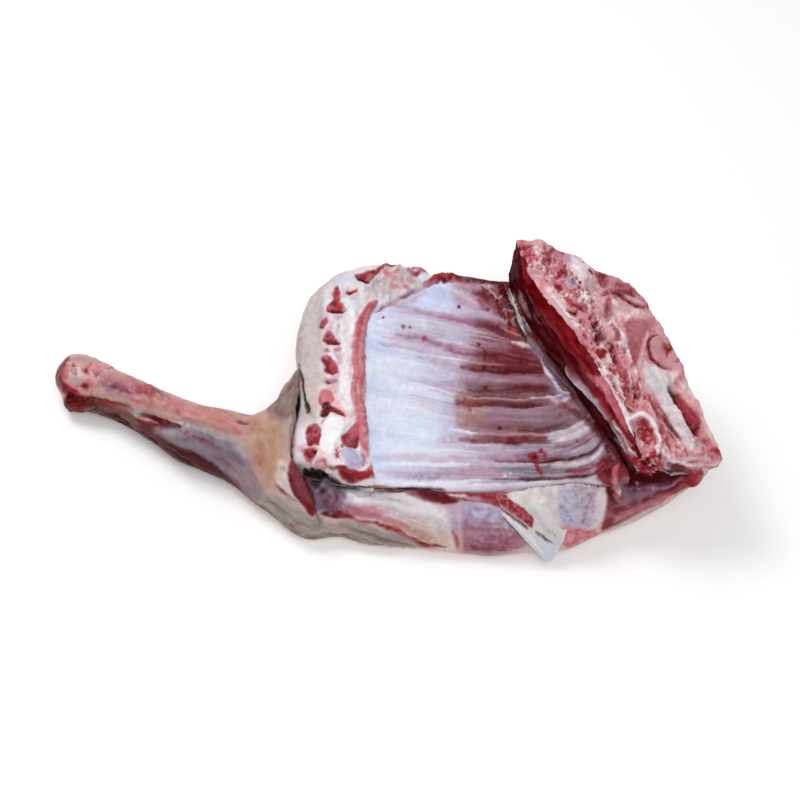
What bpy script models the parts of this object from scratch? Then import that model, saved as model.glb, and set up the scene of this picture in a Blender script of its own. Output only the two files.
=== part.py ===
"""Raw lamb shoulder with its foreshank, ribs, breastbone and half backbone.

The cut lies on its outer side with the inside of the chest up. X runs from the
foreshank to the backbone, Y from the cut across the ribs (front) to the neck (rear),
Z up. The drawing is in millimetres and the finished meshes are in metres.

A chest section is a row of key points: the outer edge of the breast, the line where
breast and ribs meet, the foot of the backbone, the inner and the outer edge of its
split face. Those five points travel along five smooth key lines from the front cut
(v = 0) to the neck (v = 1), and every piece of the chest is lofted between them.
The shoulder and shank are a second loft, of round sections from the knuckle to the
far end, and the chest is cut out of its top.
"""
import bpy
import numpy as np

MM = 0.001
GAP = 0.3                    # clearance left between two touching pieces
CENTRE = (-11.5, -1.5, 0.0)  # middle of the finished cut's floor area, in the drawing

# ---- the chest: five key lines, front cut first, as (x, y, z)
BREAST_EDGE = [(-70, -62, 46), (-70, -42, 49), (-66, -14, 53), (-67, 14, 57),
               (-69, 40, 60), (-66, 64, 62), (-59, 84, 61), (-44, 103, 58)]
BREAST_INNER = [(-13, -84, 52), (-15, -62, 57), (-19, -37, 60), (-20, 0, 61),
                (-21, 28, 61), (-19, 56, 60), (-12, 82, 60), (-6, 116, 59)]
BACKBONE_FOOT = [(162, -83, 62), (146, -52, 65), (133, -25, 67), (120, 0, 69),
                 (106, 24, 71), (94, 52, 73), (87, 72, 77), (86, 85, 81)]
SPLIT_INNER = [(169, -87, 80), (165, -78, 84), (156, -59, 92), (147, -37, 98),
               (137, -18, 104), (124, 4, 108), (110, 29, 112), (98, 56, 114),
               (90, 83, 118)]
SPLIT_OUTER = [(226, -77, 68), (213, -46, 80), (203, -22, 88), (197, 0, 92),
               (188, 26, 95), (174, 50, 99), (149, 64, 106), (121, 77, 113),
               (103, 84, 118)]

CHEST_SECTIONS = 47          # sections along the chest
BREAST_CROWN = 5.0           # rise of the breast above its two edges
BREAST_DEPTH = (17.0, 24.0)  # thickness of the breast's outer edge, front and neck end
WALL = 12.0                  # thickness of rib and the muscle between ribs
TROUGH_FRONT = 17.0          # how deep the rib wall sags at the front cut
TROUGH_REAR = 10.0           # and towards the neck
TROUGH_LIP = 0.14            # share of the length over which the neck end rises again
RIBS = 6.0                   # ribs along the breast side
RIB_FAN = 0.22               # how much closer together the ribs lie at the backbone
RIB_HEIGHT = 2.6
SPLIT_DEPTH_FRONT = (24.0, 12.0)   # thickness of the half backbone, inner and outer edge
SPLIT_DEPTH_REAR = (48.0, 42.0)    # the same at the neck
SPLIT_FOOT = 0.4             # where its narrower foot stands, as a share of the face
VERTEBRA = 30.0              # length of one vertebra
VERTEBRA_RELIEF = 3.0
NECK_MUSCLE_BULGE = 5.0      # how far the muscle beside the backbone swells

# ---- the shoulder and shank: stations from the knuckle to the far end, each with the
# front foot (x, y, z), the rear edge (x, y, z), the height of the crown and of the keel
STATIONS = [
    ((-249, 33, 18), (-245, 46, 22), 28, 9),
    ((-241, 19, 15), (-236, 52, 22), 38, 1),
    ((-232, 15, 14), (-219, 49, 21), 38, 0),
    ((-212, 9, 14), (-199, 36, 20), 37, 0),
    ((-192, -3, 15), (-178, 23, 21), 38, 0),
    ((-174, -17, 16), (-159, 12, 22), 41, 0),
    ((-155, -33, 16), (-138, 1, 24), 45, 0),
    ((-136, -43, 15), (-115, -8, 26), 48, 0),
    ((-117, -53, 14), (-95, -15, 30), 52, 0),
    ((-99, -69, 12), (-83, -4, 36), 54, 0),
    ((-84, -82, 10), (-76, 8, 40), 55, 0),
    ((-70, -95, 8), (-68, 24, 42), 56, 0),
    ((-56, -100, 7), (-65, 42, 38), 58, 0),
    ((-38, -98, 8), (-60, 64, 32), 59, 0),
    ((-18, -103, 6), (-48, 86, 30), 60, 0),
    ((8, -105, 5), (-26, 106, 28), 62, 0),
    ((38, -108, 5), (6, 111, 28), 62, 0),
    ((70, -112, 5), (44, 101, 28), 62, 0),
    ((98, -110, 6), (84, 82, 30), 64, 0),
    ((122, -109, 8), (118, 71, 34), 66, 0),
    ((146, -98, 10), (147, 57, 40), 66, 0),
    ((167, -91, 13), (174, 32, 46), 66, 0),
    ((185, -84, 20), (193, -6, 50), 66, 8),
    ((201, -82, 36), (207, -42, 54), 68, 26),
    ((213, -81, 53), (220, -72, 60), 66, 46),
]
SHOULDER_SECTIONS = 60
SHOULDER_RING = 40           # points round one section
KNUCKLE_END = 2.6            # station at which the bare knuckle ends
FLOOR_FLAT = 1.18            # how much of the underside is pressed flat
FRONT_AT_BREAST = (45.0, -80.0, -20.0)  # way of the cut ahead of the breast's edge
FRONT_AT_RIBS = (0.0, -8.0, 140.0)      # and ahead of the ribs, almost straight up
CUT_BEYOND = (70.0, 80.0)    # how far the chest's space is open to the right and the rear
CUT_CEILING = 240.0          # a height above everything

# ---- the white flap of blade cartilage that hangs over the front cut face: its left
# and its right edge, each from the rim down to the tip
FLAP_LEFT = [(72, -88, 42), (77, -100, 34), (92, -111, 20), (107, -118, 5)]
FLAP_RIGHT = [(118, -88, 43), (122, -100, 35), (120, -111, 20), (112, -118, 5)]
FLAP_THICK = 3.5
FLAP_LIFT = (0.0, -1.0, 1.5)  # how far the whole sheet stands off those two lines
FLAP_CROWN = (0.0, -2.0, 1.5)  # and its middle off its edges, at the rim
FLAP_INWARD = (0.0, 0.55, -0.83)  # the way its thickness goes
FLAP_CLEAR = 30.0            # how far its bed is open outwards

COLOURS = {"shoulder": (0.60, 0.36, 0.33), "rib_wall": (0.66, 0.55, 0.66),
           "breastbone": (0.80, 0.66, 0.64), "neck_muscle": (0.30, 0.03, 0.03),
           "backbone": (0.62, 0.26, 0.26), "shank_bone": (0.72, 0.48, 0.42),
           "blade_flap": (0.80, 0.76, 0.74)}


def clear_scene():
    """Remove what the new file came with."""
    for obj in list(bpy.data.objects):
        bpy.data.objects.remove(obj, do_unlink=True)


def smooth_line(points, where):
    """Read a smooth curve through the points at fractions 0..1 of the point count.

    Between two points it is the cubic whose ends point along the chord of their
    neighbours, so the curve passes every point without a corner.
    """
    pts = np.asarray(points, float)
    last = len(pts) - 1
    at = np.clip(np.asarray(where, float), 0.0, 1.0) * last
    low = np.clip(np.floor(at).astype(int), 0, last - 1)
    f = (at - low).reshape(at.shape + (1,) * (pts.ndim - 1))
    tangent = np.gradient(pts, axis=0)
    p0, p1, m0, m1 = pts[low], pts[low + 1], tangent[low], tangent[low + 1]
    return ((2 * f**3 - 3 * f**2 + 1) * p0 + (f**3 - 2 * f**2 + f) * m0
            + (3 * f**2 - 2 * f**3) * p1 + (f**3 - f**2) * m1)


def even_line(points, where):
    """Read the curve at fractions of its length instead of its point count."""
    fine = np.linspace(0.0, 1.0, 400)
    line = smooth_line(points, fine)
    length = np.concatenate([[0.0], np.cumsum(np.linalg.norm(np.diff(line, axis=0), axis=1))])
    return smooth_line(points, np.interp(np.asarray(where) * length[-1], length, fine))


def blend(a, b, f):
    """Points a part f of the way from a to b; a and b hold one point for each section."""
    f = np.asarray(f, float)[None, :, None]
    return a[:, None, :] * (1 - f) + b[:, None, :] * f


def key_lines(v):
    """The five key lines at sections v, and the five lines below them."""
    breast, inner, foot = (even_line(line, v) for line in
                           (BREAST_EDGE, BREAST_INNER, BACKBONE_FOOT))
    split_in, split_out = (even_line(line, v) for line in (SPLIT_INNER, SPLIT_OUTER))
    top = [breast, inner, foot, split_in, split_out]
    depth = np.outer(1 - v, SPLIT_DEPTH_FRONT) + np.outer(v, SPLIT_DEPTH_REAR)
    under = [breast.copy(), inner - (0, 0, WALL + 3), foot + (2, 0, -WALL - 2),
             split_in + SPLIT_FOOT * (split_out - split_in), split_out - (2, 0, 0)]
    under[0][:, 2] -= BREAST_DEPTH[0] * (1 - v) + BREAST_DEPTH[1] * v
    under[3][:, 2] = split_in[:, 2] - depth[:, 0]
    under[4][:, 2] = split_out[:, 2] - depth[:, 1]
    return top, under


def trough(v, s):
    """How far the rib wall sags below a straight line from breast to backbone."""
    depth = TROUGH_FRONT + (TROUGH_REAR - TROUGH_FRONT) * v
    lip = np.clip((v - 1 + TROUGH_LIP) / TROUGH_LIP, 0, 1)
    depth = depth * (1 - 0.8 * lip**2 * (3 - 2 * lip))
    return depth[:, None] * np.sin(np.pi * s[None, :] ** 0.86) ** 0.9


def rib_top(v, s, inner, foot):
    """Upper face of the rib wall: a sagging sheet with a row of low ridges."""
    grid = blend(inner, foot, s)
    grid[:, :, 2] -= trough(v, s)
    turn = v[:, None] * (1 + RIB_FAN * s[None, :]) * RIBS
    fade = np.sin(np.pi * np.clip(s, 0.02, 0.98)) ** 0.5
    grid[:, :, 2] += RIB_HEIGHT * 0.5 * (np.cos(2 * np.pi * (turn - 0.35)) + 1) * fade[None, :]
    return grid


def new_object(name, vertices, faces):
    """A smooth-shaded object with its own material, from millimetres to metres."""
    mesh = bpy.data.meshes.new(name)
    points = (np.asarray(vertices, float) - CENTRE) * MM
    mesh.from_pydata(points.tolist(), [], faces)
    mesh.validate()
    mesh.shade_smooth()
    mesh.set_sharp_from_angle(angle=np.radians(40))
    material = bpy.data.materials.new(name + "_finish")
    material.use_nodes = True
    shader = material.node_tree.nodes["Principled BSDF"]
    shader.inputs["Base Color"].default_value = (*COLOURS.get(name, (0.5, 0.5, 0.5)), 1)
    shader.inputs["Roughness"].default_value = 0.4
    shader.inputs["Metallic"].default_value = 0.0
    mesh.materials.append(material)
    obj = bpy.data.objects.new(name, mesh)
    bpy.context.scene.collection.objects.link(obj)
    return obj


def slab(name, top, bottom):
    """Close two grids of the same size, one above the other, into one solid.

    Every four-sided patch is split along the same diagonal, so that two pieces which
    share a twisted side still match there.
    """
    rows, cols, _ = top.shape
    vertices = np.concatenate([top.reshape(-1, 3), bottom.reshape(-1, 3)])
    down = rows * cols
    patches = []
    for i in range(rows - 1):
        for j in range(cols - 1):
            a, b = i * cols + j, (i + 1) * cols + j
            patches.append(((a, a + 1, b + 1, b), False))
            patches.append(((down + a, down + a + 1, down + b + 1, down + b), True))
    for i in range(rows - 1):
        for j, flip in ((0, False), (cols - 1, True)):
            a, b = i * cols + j, (i + 1) * cols + j
            patches.append(((a, b, down + b, down + a), flip))
    for j in range(cols - 1):
        for i, flip in ((0, True), (rows - 1, False)):
            a, b = i * cols + j, i * cols + j + 1
            patches.append(((a, b, down + b, down + a), flip))
    faces = []
    for (a, b, c, d), flip in patches:
        for corner in ((a, b, c), (a, c, d)):
            faces.append(corner[::-1] if flip else corner)
    return new_object(name, vertices, faces)


def breastbone(v, top, under):
    """The breast: a low crowned bar from its outer edge to the ribs."""
    s = np.linspace(0, 1, 9)
    upper = blend(top[0], top[1], s)
    upper[:, :, 2] += BREAST_CROWN * np.sin(np.pi * s)[None, :] ** 0.7
    lower = blend(under[0], under[1], s)
    for grid in (upper, lower):
        grid[:, -1, 0] -= GAP / 2
    return slab("breastbone", upper, lower)


def rib_wall(v, top, under):
    """The ribs and the muscle between them, one curved wall."""
    s = np.linspace(0, 1, 18)
    upper = rib_top(v, s, top[1], top[2])
    lower = blend(under[1], under[2], s)
    lower[:, :, 2] -= trough(v, s)
    for grid in (upper, lower):
        grid[:, 0, 0] += GAP / 2
        grid[:, -1, 0] -= GAP / 2
    return slab("rib_wall", upper, lower)


def neck_muscle(v, top, under):
    """The dark muscle along the backbone: a wedge that swells towards the ribs."""
    s = np.linspace(0, 1, 7)
    upper = blend(top[2], top[3], s)
    swell = NECK_MUSCLE_BULGE * np.sin(np.pi * s)[None, :] * (1 - v**4)[:, None]
    upper[:, :, 0] -= swell
    upper[:, :, 2] += swell * 0.3
    lower = blend(under[2], under[3], s)
    for grid in (upper, lower):
        grid[:, 0, 0] += GAP / 2
        grid[:, -1, 0] -= GAP / 2
    return slab("neck_muscle", upper, lower)


def backbone(v, top, under):
    """The split backbone: a block with a low rise at each vertebra."""
    s = np.linspace(0, 1, 9)
    upper = blend(top[3], top[4], s)
    along = np.concatenate([[0], np.cumsum(np.linalg.norm(np.diff(top[3], axis=0), axis=1))])
    wave = 0.5 * (1 + np.cos(2 * np.pi * along / VERTEBRA))[:, None]
    upper[:, :, 2] += VERTEBRA_RELIEF * wave * np.sin(np.pi * s)[None, :]
    lower = blend(under[3], under[4], s)
    for grid in (upper, lower):
        grid[:, 0, 0] += GAP / 2
    return slab("backbone", upper, lower)


def chest_cutter(v, under):
    """The space of the whole chest, a little larger, open to the rear, right and front."""
    step = slice(None, None, 2)
    s = np.linspace(0, 1, 14)
    bed = blend(under[1][step], under[2][step], s)
    bed[:, :, 2] -= trough(v[step], s)
    floor = np.concatenate([under[0][step][:, None], bed, under[3][step][:, None],
                            under[4][step][:, None]], axis=1)
    floor[:, :, 2] -= 3 * GAP
    floor[:, 0, 0] -= 2 * GAP
    beyond = floor[:, -1:] + (CUT_BEYOND[0], 0, 0)
    floor = np.concatenate([floor, beyond], axis=1)
    floor[0, :, 1] -= 2 * GAP
    before = floor[:1] + FRONT_AT_RIBS
    before[0, 0] = floor[0, 0] + FRONT_AT_BREAST
    floor = np.concatenate([before, floor, floor[-1:] + (0, CUT_BEYOND[1], 0)])
    ceiling = floor.copy()
    ceiling[:, :, 2] = CUT_CEILING
    cutter = slab("chest_space", ceiling, floor)
    cutter.hide_render = True
    cutter.display_type = "WIRE"
    return cutter


def section_rings(where):
    """Rings of the shoulder and shank at fractional station numbers.

    A ring runs from the front foot over the crown to the rear edge and back below.
    Each quarter is a superellipse: rounder at the front, squarer at the rear.
    """
    table = np.array([(*front, *rear, *heights) for front, rear, *heights in STATIONS], float)
    row = smooth_line(table, np.asarray(where, float) / (len(STATIONS) - 1))
    front, rear, crown, keel = row[:, None, 0:3], row[:, None, 3:6], row[:, 6:7], row[:, 7:8]
    angle = np.linspace(0, 2 * np.pi, SHOULDER_RING, endpoint=False)
    across = -np.cos(angle)[None, :]
    up = np.sin(angle)[None, :]
    body = np.clip((np.asarray(where)[:, None] - 9) / 4, 0, 1)
    rear_power = 1 - 0.45 * body * (across > 0)
    out = np.sign(across) * np.abs(across) ** rear_power
    middle = 0.5 * (front + rear)
    ring = middle + 0.5 * (rear - front) * out[:, :, None]
    height = ring[:, :, 2]
    rise = np.abs(up) ** rear_power
    above = height + (crown - height) * rise
    below = keel + (height - keel) * np.clip(1 - FLOOR_FLAT * np.abs(up) ** 0.9, 0, 1)
    ring[:, :, 2] = np.maximum(np.where(up >= 0, above, below), 0)
    return ring


def tube(name, rings):
    """Skin a row of rings and close both ends straight across."""
    count, n, _ = rings.shape
    faces = []
    for i in range(count - 1):
        for j in range(n):
            a, b = i * n + j, i * n + (j + 1) % n
            faces.append((a, a + n, b + n, b))
    for start, flip in ((0, False), ((count - 1) * n, True)):
        for j in range(n // 2):
            a, b = start + j, start + j + 1
            c, d = start + (n - j - 1) % n, start + (n - j) % n
            cap = [a, d, c, b]
            cap = [k for i, k in enumerate(cap) if k not in cap[:i]]
            if len(cap) > 2:
                faces.append(tuple(cap if flip else cap[::-1]))
    return new_object(name, rings.reshape(-1, 3), faces)


def shank_bone():
    """The bare knuckle at the end of the shank."""
    where = np.linspace(0, KNUCKLE_END, 8)
    return tube("shank_bone", section_rings(where))


def shoulder(cutters):
    """The shoulder and shank in one, with the chest and the flap cut out of it."""
    along = (STATIONS[3][0][0] - STATIONS[2][0][0])
    where = np.linspace(KNUCKLE_END + 2 * GAP / along, len(STATIONS) - 1, SHOULDER_SECTIONS)
    obj = tube("shoulder", section_rings(where))
    for cutter in cutters:
        cut = obj.modifiers.new(cutter.name, "BOOLEAN")
        cut.operation = "DIFFERENCE"
        cut.solver = "EXACT"
        cut.object = cutter
    return obj


def flap_sheet():
    """The outer face of the flap as a grid, from its left to its right edge."""
    down = np.linspace(0, 1, 12)
    across = np.linspace(0, 1, 7)
    sheet = blend(smooth_line(FLAP_LEFT, down), smooth_line(FLAP_RIGHT, down), across)
    proud = np.sin(np.pi * across)[None, :] * (1 - down)[:, None]
    sheet += FLAP_LIFT + proud[:, :, None] * FLAP_CROWN
    return sheet[::-1]


def blade_flap():
    """The flap itself, and the bed that it lies in."""
    outer = flap_sheet()
    inward = np.array(FLAP_INWARD)
    slab("blade_flap", outer, outer + inward * FLAP_THICK)
    bed = flap_sheet()
    grow = np.array((1.02, 1.0, 1.0))
    middle = bed.mean(axis=(0, 1)) * (1, 0, 0)
    bed = (bed - middle) * grow + middle
    for end, beside in ((0, 1), (-1, -2)):
        step = bed[end] - bed[beside]
        bed[end] += step * 3 * GAP / np.linalg.norm(step, axis=1, keepdims=True)
    cutter = slab("flap_bed", bed - inward * FLAP_CLEAR, bed + inward * (FLAP_THICK + 2 * GAP))
    cutter.hide_render = True
    cutter.display_type = "WIRE"
    return cutter


def main():
    """Build every piece."""
    clear_scene()
    v = np.linspace(0, 1, CHEST_SECTIONS)
    top, under = key_lines(v)
    breastbone(v, top, under)
    rib_wall(v, top, under)
    neck_muscle(v, top, under)
    backbone(v, top, under)
    cutter = chest_cutter(v, under)
    shank_bone()
    shoulder([cutter, blade_flap()])


main()
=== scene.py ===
# %% [markdown]
# # A raw lamb shoulder, dressed over its solids
# The cut lies on its outer side with the inside of the chest up. To the left runs the
# foreshank, to the right stands the split backbone, and between them lie the ribs under
# their shiny lining. The solids give every size and place. This lesson lays a finer skin
# over each of them: the same curves again, read at many more points, with the marks that a
# butcher's saw and knife leave painted and pressed into the surface, and with painted
# light too: painted shade in slots, along rims and under overhangs, and painted highlights
# and glints on the wet crests.

# %% The solids and the tools
import math

import bpy
import numpy as np
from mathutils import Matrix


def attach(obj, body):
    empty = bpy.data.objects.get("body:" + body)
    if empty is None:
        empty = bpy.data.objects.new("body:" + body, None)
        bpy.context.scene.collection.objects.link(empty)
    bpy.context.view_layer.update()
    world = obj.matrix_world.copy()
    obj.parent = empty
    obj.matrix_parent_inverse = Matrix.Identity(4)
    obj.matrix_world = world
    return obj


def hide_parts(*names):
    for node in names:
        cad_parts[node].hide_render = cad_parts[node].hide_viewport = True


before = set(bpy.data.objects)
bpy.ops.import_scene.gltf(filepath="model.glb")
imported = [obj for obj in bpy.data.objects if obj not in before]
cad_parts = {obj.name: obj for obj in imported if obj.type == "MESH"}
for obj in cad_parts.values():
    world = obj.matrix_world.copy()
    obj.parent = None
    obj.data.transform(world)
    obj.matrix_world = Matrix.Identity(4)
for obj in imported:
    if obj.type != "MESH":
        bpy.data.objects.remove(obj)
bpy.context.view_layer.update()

# %% [markdown]
# ## Where things are
# The drawing of the cut is in millimetres, with its own middle. One function carries a
# drawing point to the place where the photograph shows it, on a square of 800 steps a side:
# a line from a fixed eye, 1.4 m away and 50 degrees up. It is used once, while the surfaces
# are made, to say where a mark lies on the meat. The mark then belongs to the mesh, so
# it stays put from any side.

# %% Scale, middle and the fixed eye
MM = 0.001                                  # metres in a millimetre
CENTRE = np.array((-11.5, -1.5, 0.0))       # the drawing point that becomes the origin
LOOK_AT = np.array((6.0, -2.0, 40.0))
EYE_FAR = 1400.0
EYE_RISE = math.radians(50)
SQUARE = 800
MM_A_STEP = 0.72                            # at the distance of LOOK_AT
TO_EYE = np.array((0.0, -math.cos(EYE_RISE), math.sin(EYE_RISE)))
EYE_UP = np.array((0.0, math.sin(EYE_RISE), math.cos(EYE_RISE)))
EYE = LOOK_AT + EYE_FAR * TO_EYE


def picture_place(points):
    """Where the eye sees the points: sideways and upward distance over depth, in steps."""
    seen = points - EYE
    scale = EYE_FAR / MM_A_STEP / -(seen @ TO_EYE)
    return np.stack([SQUARE / 2 + scale * seen[:, 0], SQUARE / 2 - scale * (seen @ EYE_UP)], -1)


print("the middle of the cut is seen at", picture_place(LOOK_AT[None])[0])

# %% [markdown]
# ## Curves
# Every surface here is stretched between a few smooth lines. A line is a handful of points
# joined by cubics that pass each point without a corner. These are the same lines that
# the solids are lofted on, so the finer skins land exactly on them.

# %% Smooth lines
EVEN_STEPS = 400   # chords that measure a line's length
CLOSED_FINE = 6    # steps between two points of a drawn line


def smooth_line(points, where):
    """Cubic through the points; where runs 0..1 over their count. A tangent is the mean
    of the two chords at its point."""
    pts = np.asarray(points, float)
    last = len(pts) - 1
    at = np.clip(np.asarray(where, float), 0, 1) * last
    low = np.clip(np.floor(at).astype(int), 0, last - 1)
    f = (at - low).reshape(at.shape + (1,) * (pts.ndim - 1))
    slope = np.gradient(pts, axis=0)
    return ((2 * f**3 - 3 * f**2 + 1) * pts[low] + (f**3 - 2 * f**2 + f) * slope[low]
            + (3 * f**2 - 2 * f**3) * pts[low + 1] + (f**3 - f**2) * slope[low + 1])


def run_of(line):
    """Length along a broken line up to each of its points."""
    return np.concatenate([[0], np.cumsum(np.linalg.norm(np.diff(line, axis=0), axis=1))])


def even_line(points, where):
    """The same line, with where as a share of its length."""
    fine = np.linspace(0, 1, EVEN_STEPS)
    length = run_of(smooth_line(points, fine))
    return smooth_line(points, np.interp(np.asarray(where) * length[-1], length, fine))


def closed_line(points):
    """Cubic through the points and back to the first."""
    pts = np.asarray(points, float)
    wide = np.concatenate([pts[-2:], pts, pts[:3]])
    where = (2 + np.arange(len(pts) * CLOSED_FINE + 1) / CLOSED_FINE) / (len(wide) - 1)
    return smooth_line(wide, where)


print("middle of a bow through three points:", smooth_line([(0, 0), (1, 1), (3, 0)], 0.5))

# %% [markdown]
# ## Blending
# Surfaces between two lines, colours over colours and the fading of every mark are all one
# sum: so much of the first, the rest of the second. An s-curve keeps the change soft.

# %% Shares of two things
def ease(x):
    """0 below 0, 1 above 1, and a smooth s-curve between: 3x squared less 2x cubed."""
    x = np.clip(x, 0, 1)
    return x * x * (3 - 2 * x)


def ramp(values, start, end):
    """Eased share that is 0 at start and 1 at end."""
    return ease((values - start) / (end - start))


def mix(first, second, share):
    """First less its share plus the share of the second."""
    return first * (1 - share) + second * share


def between(a, b, f):
    """Points a share f of the way from line a to line b, as a grid."""
    return mix(a[:, None], b[:, None], np.asarray(f, float)[None, :, None])


print("ramp from 2 to 6 at 3, 4 and 5:", ramp(np.array((3, 4, 5)), 2, 6))

# %% [markdown]
# ## Unevenness
# Meat has no even colour and no flat surface. A field of random lumps gives both. Random
# numbers sit at the corners of a cubic lattice, and between the corners they are blended
# with an s-curve, so that one formula gives swells of 30 mm or grains of 1 mm.

# %% Random lumps
SCRAMBLE = (73856093, 19349663, 83492791, 6542989)   # large primes that part the corners
STIR = 1274126177
SEED_SHIFT = 31.7                                    # cells between the fields of two seeds


def corner_values(cell, seed):
    """A repeatable number from -1 to 1 for each lattice corner."""
    x, y, z, by_seed = SCRAMBLE
    mixed = cell[:, 0] * x ^ cell[:, 1] * y ^ cell[:, 2] * z ^ seed * by_seed
    mixed &= 0xFFFFFFFF
    mixed = (mixed ^ (mixed >> 13)) * STIR & 0xFFFFFFFF
    return ((mixed ^ (mixed >> 16)) & 0xFFFFFFFF) / 2**31 - 1


def lumps(points, size, seed):
    """Smooth random field from -1 to 1 with lumps about size mm apart."""
    at = points / size + SEED_SHIFT * seed
    cell = np.floor(at).astype(np.int64)
    f = ease(at - cell)
    total = 0.0
    for dx in (0, 1):
        for dy in (0, 1):
            for dz in (0, 1):
                share = ((f[:, 0] if dx else 1 - f[:, 0]) * (f[:, 1] if dy else 1 - f[:, 1])
                         * (f[:, 2] if dz else 1 - f[:, 2]))
                total = total + share * corner_values(cell + (dx, dy, dz), seed)
    return total


def rough_lumps(points, size, seed):
    """Lumps with a half-size and a quarter-size layer on top."""
    return (lumps(points, size, seed) + 0.5 * lumps(points, size / 2.1, seed + 1)
            + 0.25 * lumps(points, size / 4.3, seed + 2)) / 1.4


def patches(points, size, seed, level, contrast, squash=(1, 1, 1)):
    """Share 0..1 of patches: an eased level plus contrast times rough lumps. Squash divides
    the size of a patch along each axis."""
    return ease(level + contrast * rough_lumps(points * squash, size, seed))


def swells(points, layers):
    """Lumpy height in mm: the sum of layers of height, size in mm and seed."""
    return sum(height * lumps(points, size, seed) for height, size, seed in layers)


print("lumps of 10 mm, read each 4 mm:",
      lumps(np.arange(6)[:, None] * (4.0, 0, 0), 10, 1).round(2))

# %% [markdown]
# ## Colours of the tissues
# Each colour is one kind of tissue: blood, fat, sinew, sawn bone. Some also stand for
# painted light: the darkest for painted shade in slots, along rims and under overhangs,
# the palest for painted highlights and glints, and cool greys and blues for soft painted
# shade on pale film and fat. They are written as hex codes, which are sRGB, and one
# function turns them to the linear light that Cycles mixes.

# %% Tissue colours
TISSUE = {
    "black": "0a0203", "hole": "180506", "pitch": "30070a", "clot": "4e090e",
    "ember": "64131a", "maroon": "5e151b", "wine": "76262f", "blood": "8c1d28",
    "red": "a4323e", "scarlet": "b63a32", "salmon": "c56874", "rose": "d68691",
    "blush": "cf9ca0", "pink": "c08a92", "shell": "e2b8b6", "orange": "b0624a",
    "rust": "8e3e28", "purple": "8a4e68", "plum": "6a2e46", "mauve": "a88698",
    "dusk": "7d535e", "haze": "a48699", "mist": "c8bcd1", "lilac": "b8aecb",
    "lavender": "a9aad2", "sky": "c4d0ee", "ice": "e8efff", "film": "dae3ff",
    "slate": "85848f", "storm": "64667a", "teal": "98a6a0", "grey": "989290",
    "ash": "b2aaa6", "fell": "938c84", "beige": "aa9488", "tan": "a6785a", "sand": "bea28a",
    "brown": "7c4c4e", "umber": "4c2322", "bark": "2e0b0d", "gore": "570306",
    "earth": "6a3a30", "outer_fat": "c9bcb9", "fat": "e8e0e5", "white": "f7f3f7",
    "cream": "dacdc9", "milk": "e1dbdc", "yellow": "d6c89a", "shank": "cb9790",
    "muscle": "a4525a", "knuckle": "cf9c97", "mud": "84625c",
}


def sRGB(code):
    """Three numbers 0..1 from a hex code."""
    return np.array([int(code[i:i + 2], 16) for i in (0, 2, 4)]) / 255


def linear(colour):
    """Linear light from sRGB: a straight foot, then the power 2.4."""
    colour = np.clip(np.asarray(colour, float), 0, 1)
    return np.where(colour <= 0.04045, colour / 12.92, ((colour + 0.055) / 1.055) ** 2.4)


def blend(under, over, share):
    """One colour laid over another, with a share for each point."""
    return mix(under, over, share[:, None])


COLOUR = {name: sRGB(code) for name, code in TISSUE.items()}
print(len(COLOUR), "tissue colours")

# %% [markdown]
# ## Marks
# A mark is a short line, a closed area or a few dots, drawn on the 800 step square. Each
# row of a table starts with the kind. Then comes the look: the tissue, its width and the
# softness of its edge in steps, how much it covers, how far it lifts the surface in
# millimetres, and the size of the grain that breaks it up; the last two may be left out
# where they are 0. After a stroke | come the points. A plus sign lays one more look on the
# same points, and a row that starts with a space goes on from the row above.
#
# Two kinds stand for many marks. `strokes` are thin lines along and between two guides, and
# after a star come their number and length. `dabs` are short bent smears strewn over an
# area, with their number after the star.

# %% Strokes and dabs
SIZES = (0.5, 1.3)            # of one stroke or dab, as a share of the row's width
LENGTHS = (0.5, 1.4)          # of a stroke, as a share of the row's length
SMEAR_LENGTHS = (0.2, 1.1)    # of half a dab, as a share of its width
STROKE_TURN = 0.02
PALER_STROKE = 0.03
ALONG = np.linspace(0, 1, 5)
ACROSS = np.linspace(-1, 1, 5)[:, None]


def inside(place, ring):
    """Whether a place lies in a ring: an odd number of its sides pass to the right."""
    within = np.zeros(len(place), bool)
    for a, b in zip(ring[:-1], ring[1:]):
        if a[1] != b[1]:
            cross = a[0] + (place[:, 1] - a[1]) * (b[0] - a[0]) / (b[1] - a[1])
            within ^= ((a[1] > place[:, 1]) != (b[1] > place[:, 1])) & (place[:, 0] < cross)
    return within


def strokes(count, length, guides, seed):
    """Paths of many short lines that run between two guide lines and along them."""
    rng = np.random.default_rng(seed)
    reach = np.linalg.norm(np.diff(guides[0], axis=0), axis=1).sum()
    paths = []
    for _ in range(int(count)):
        share = min(length / reach * rng.uniform(*LENGTHS), 1.0)
        t = rng.uniform(-0.1 * share, 1.1 - share) + share * ALONG
        across = rng.random() + rng.normal(0, STROKE_TURN) * ACROSS
        paths.append(mix(smooth_line(guides[0], t), smooth_line(guides[1], t), across))
    return paths


def strewn(count, ring, seed):
    """Random places inside a ring."""
    rng = np.random.default_rng(seed)
    place = rng.uniform(ring.min(axis=0), ring.max(axis=0), (int(count) * 4, 2))
    return place[inside(place, closed_line(ring))][:int(count)]


def smear(place, width, size, rng):
    """A short bent path through a place: from one random end over it to another."""
    way = rng.uniform(0, np.pi, 2)
    end = np.stack([np.cos(way), np.sin(way)], axis=1) * rng.uniform(*SMEAR_LENGTHS) * width * size
    return place + np.stack([-end[0], 0 * end[0], end[1]])


print("three places strewn in a square of 10:",
      strewn(3, np.array([(0, 0), (10, 0), (10, 10), (0, 10)]), 1).round(1).tolist())

# %% Reading a table
SOFTER = 1.45    # widens every edge that the tables give


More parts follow.
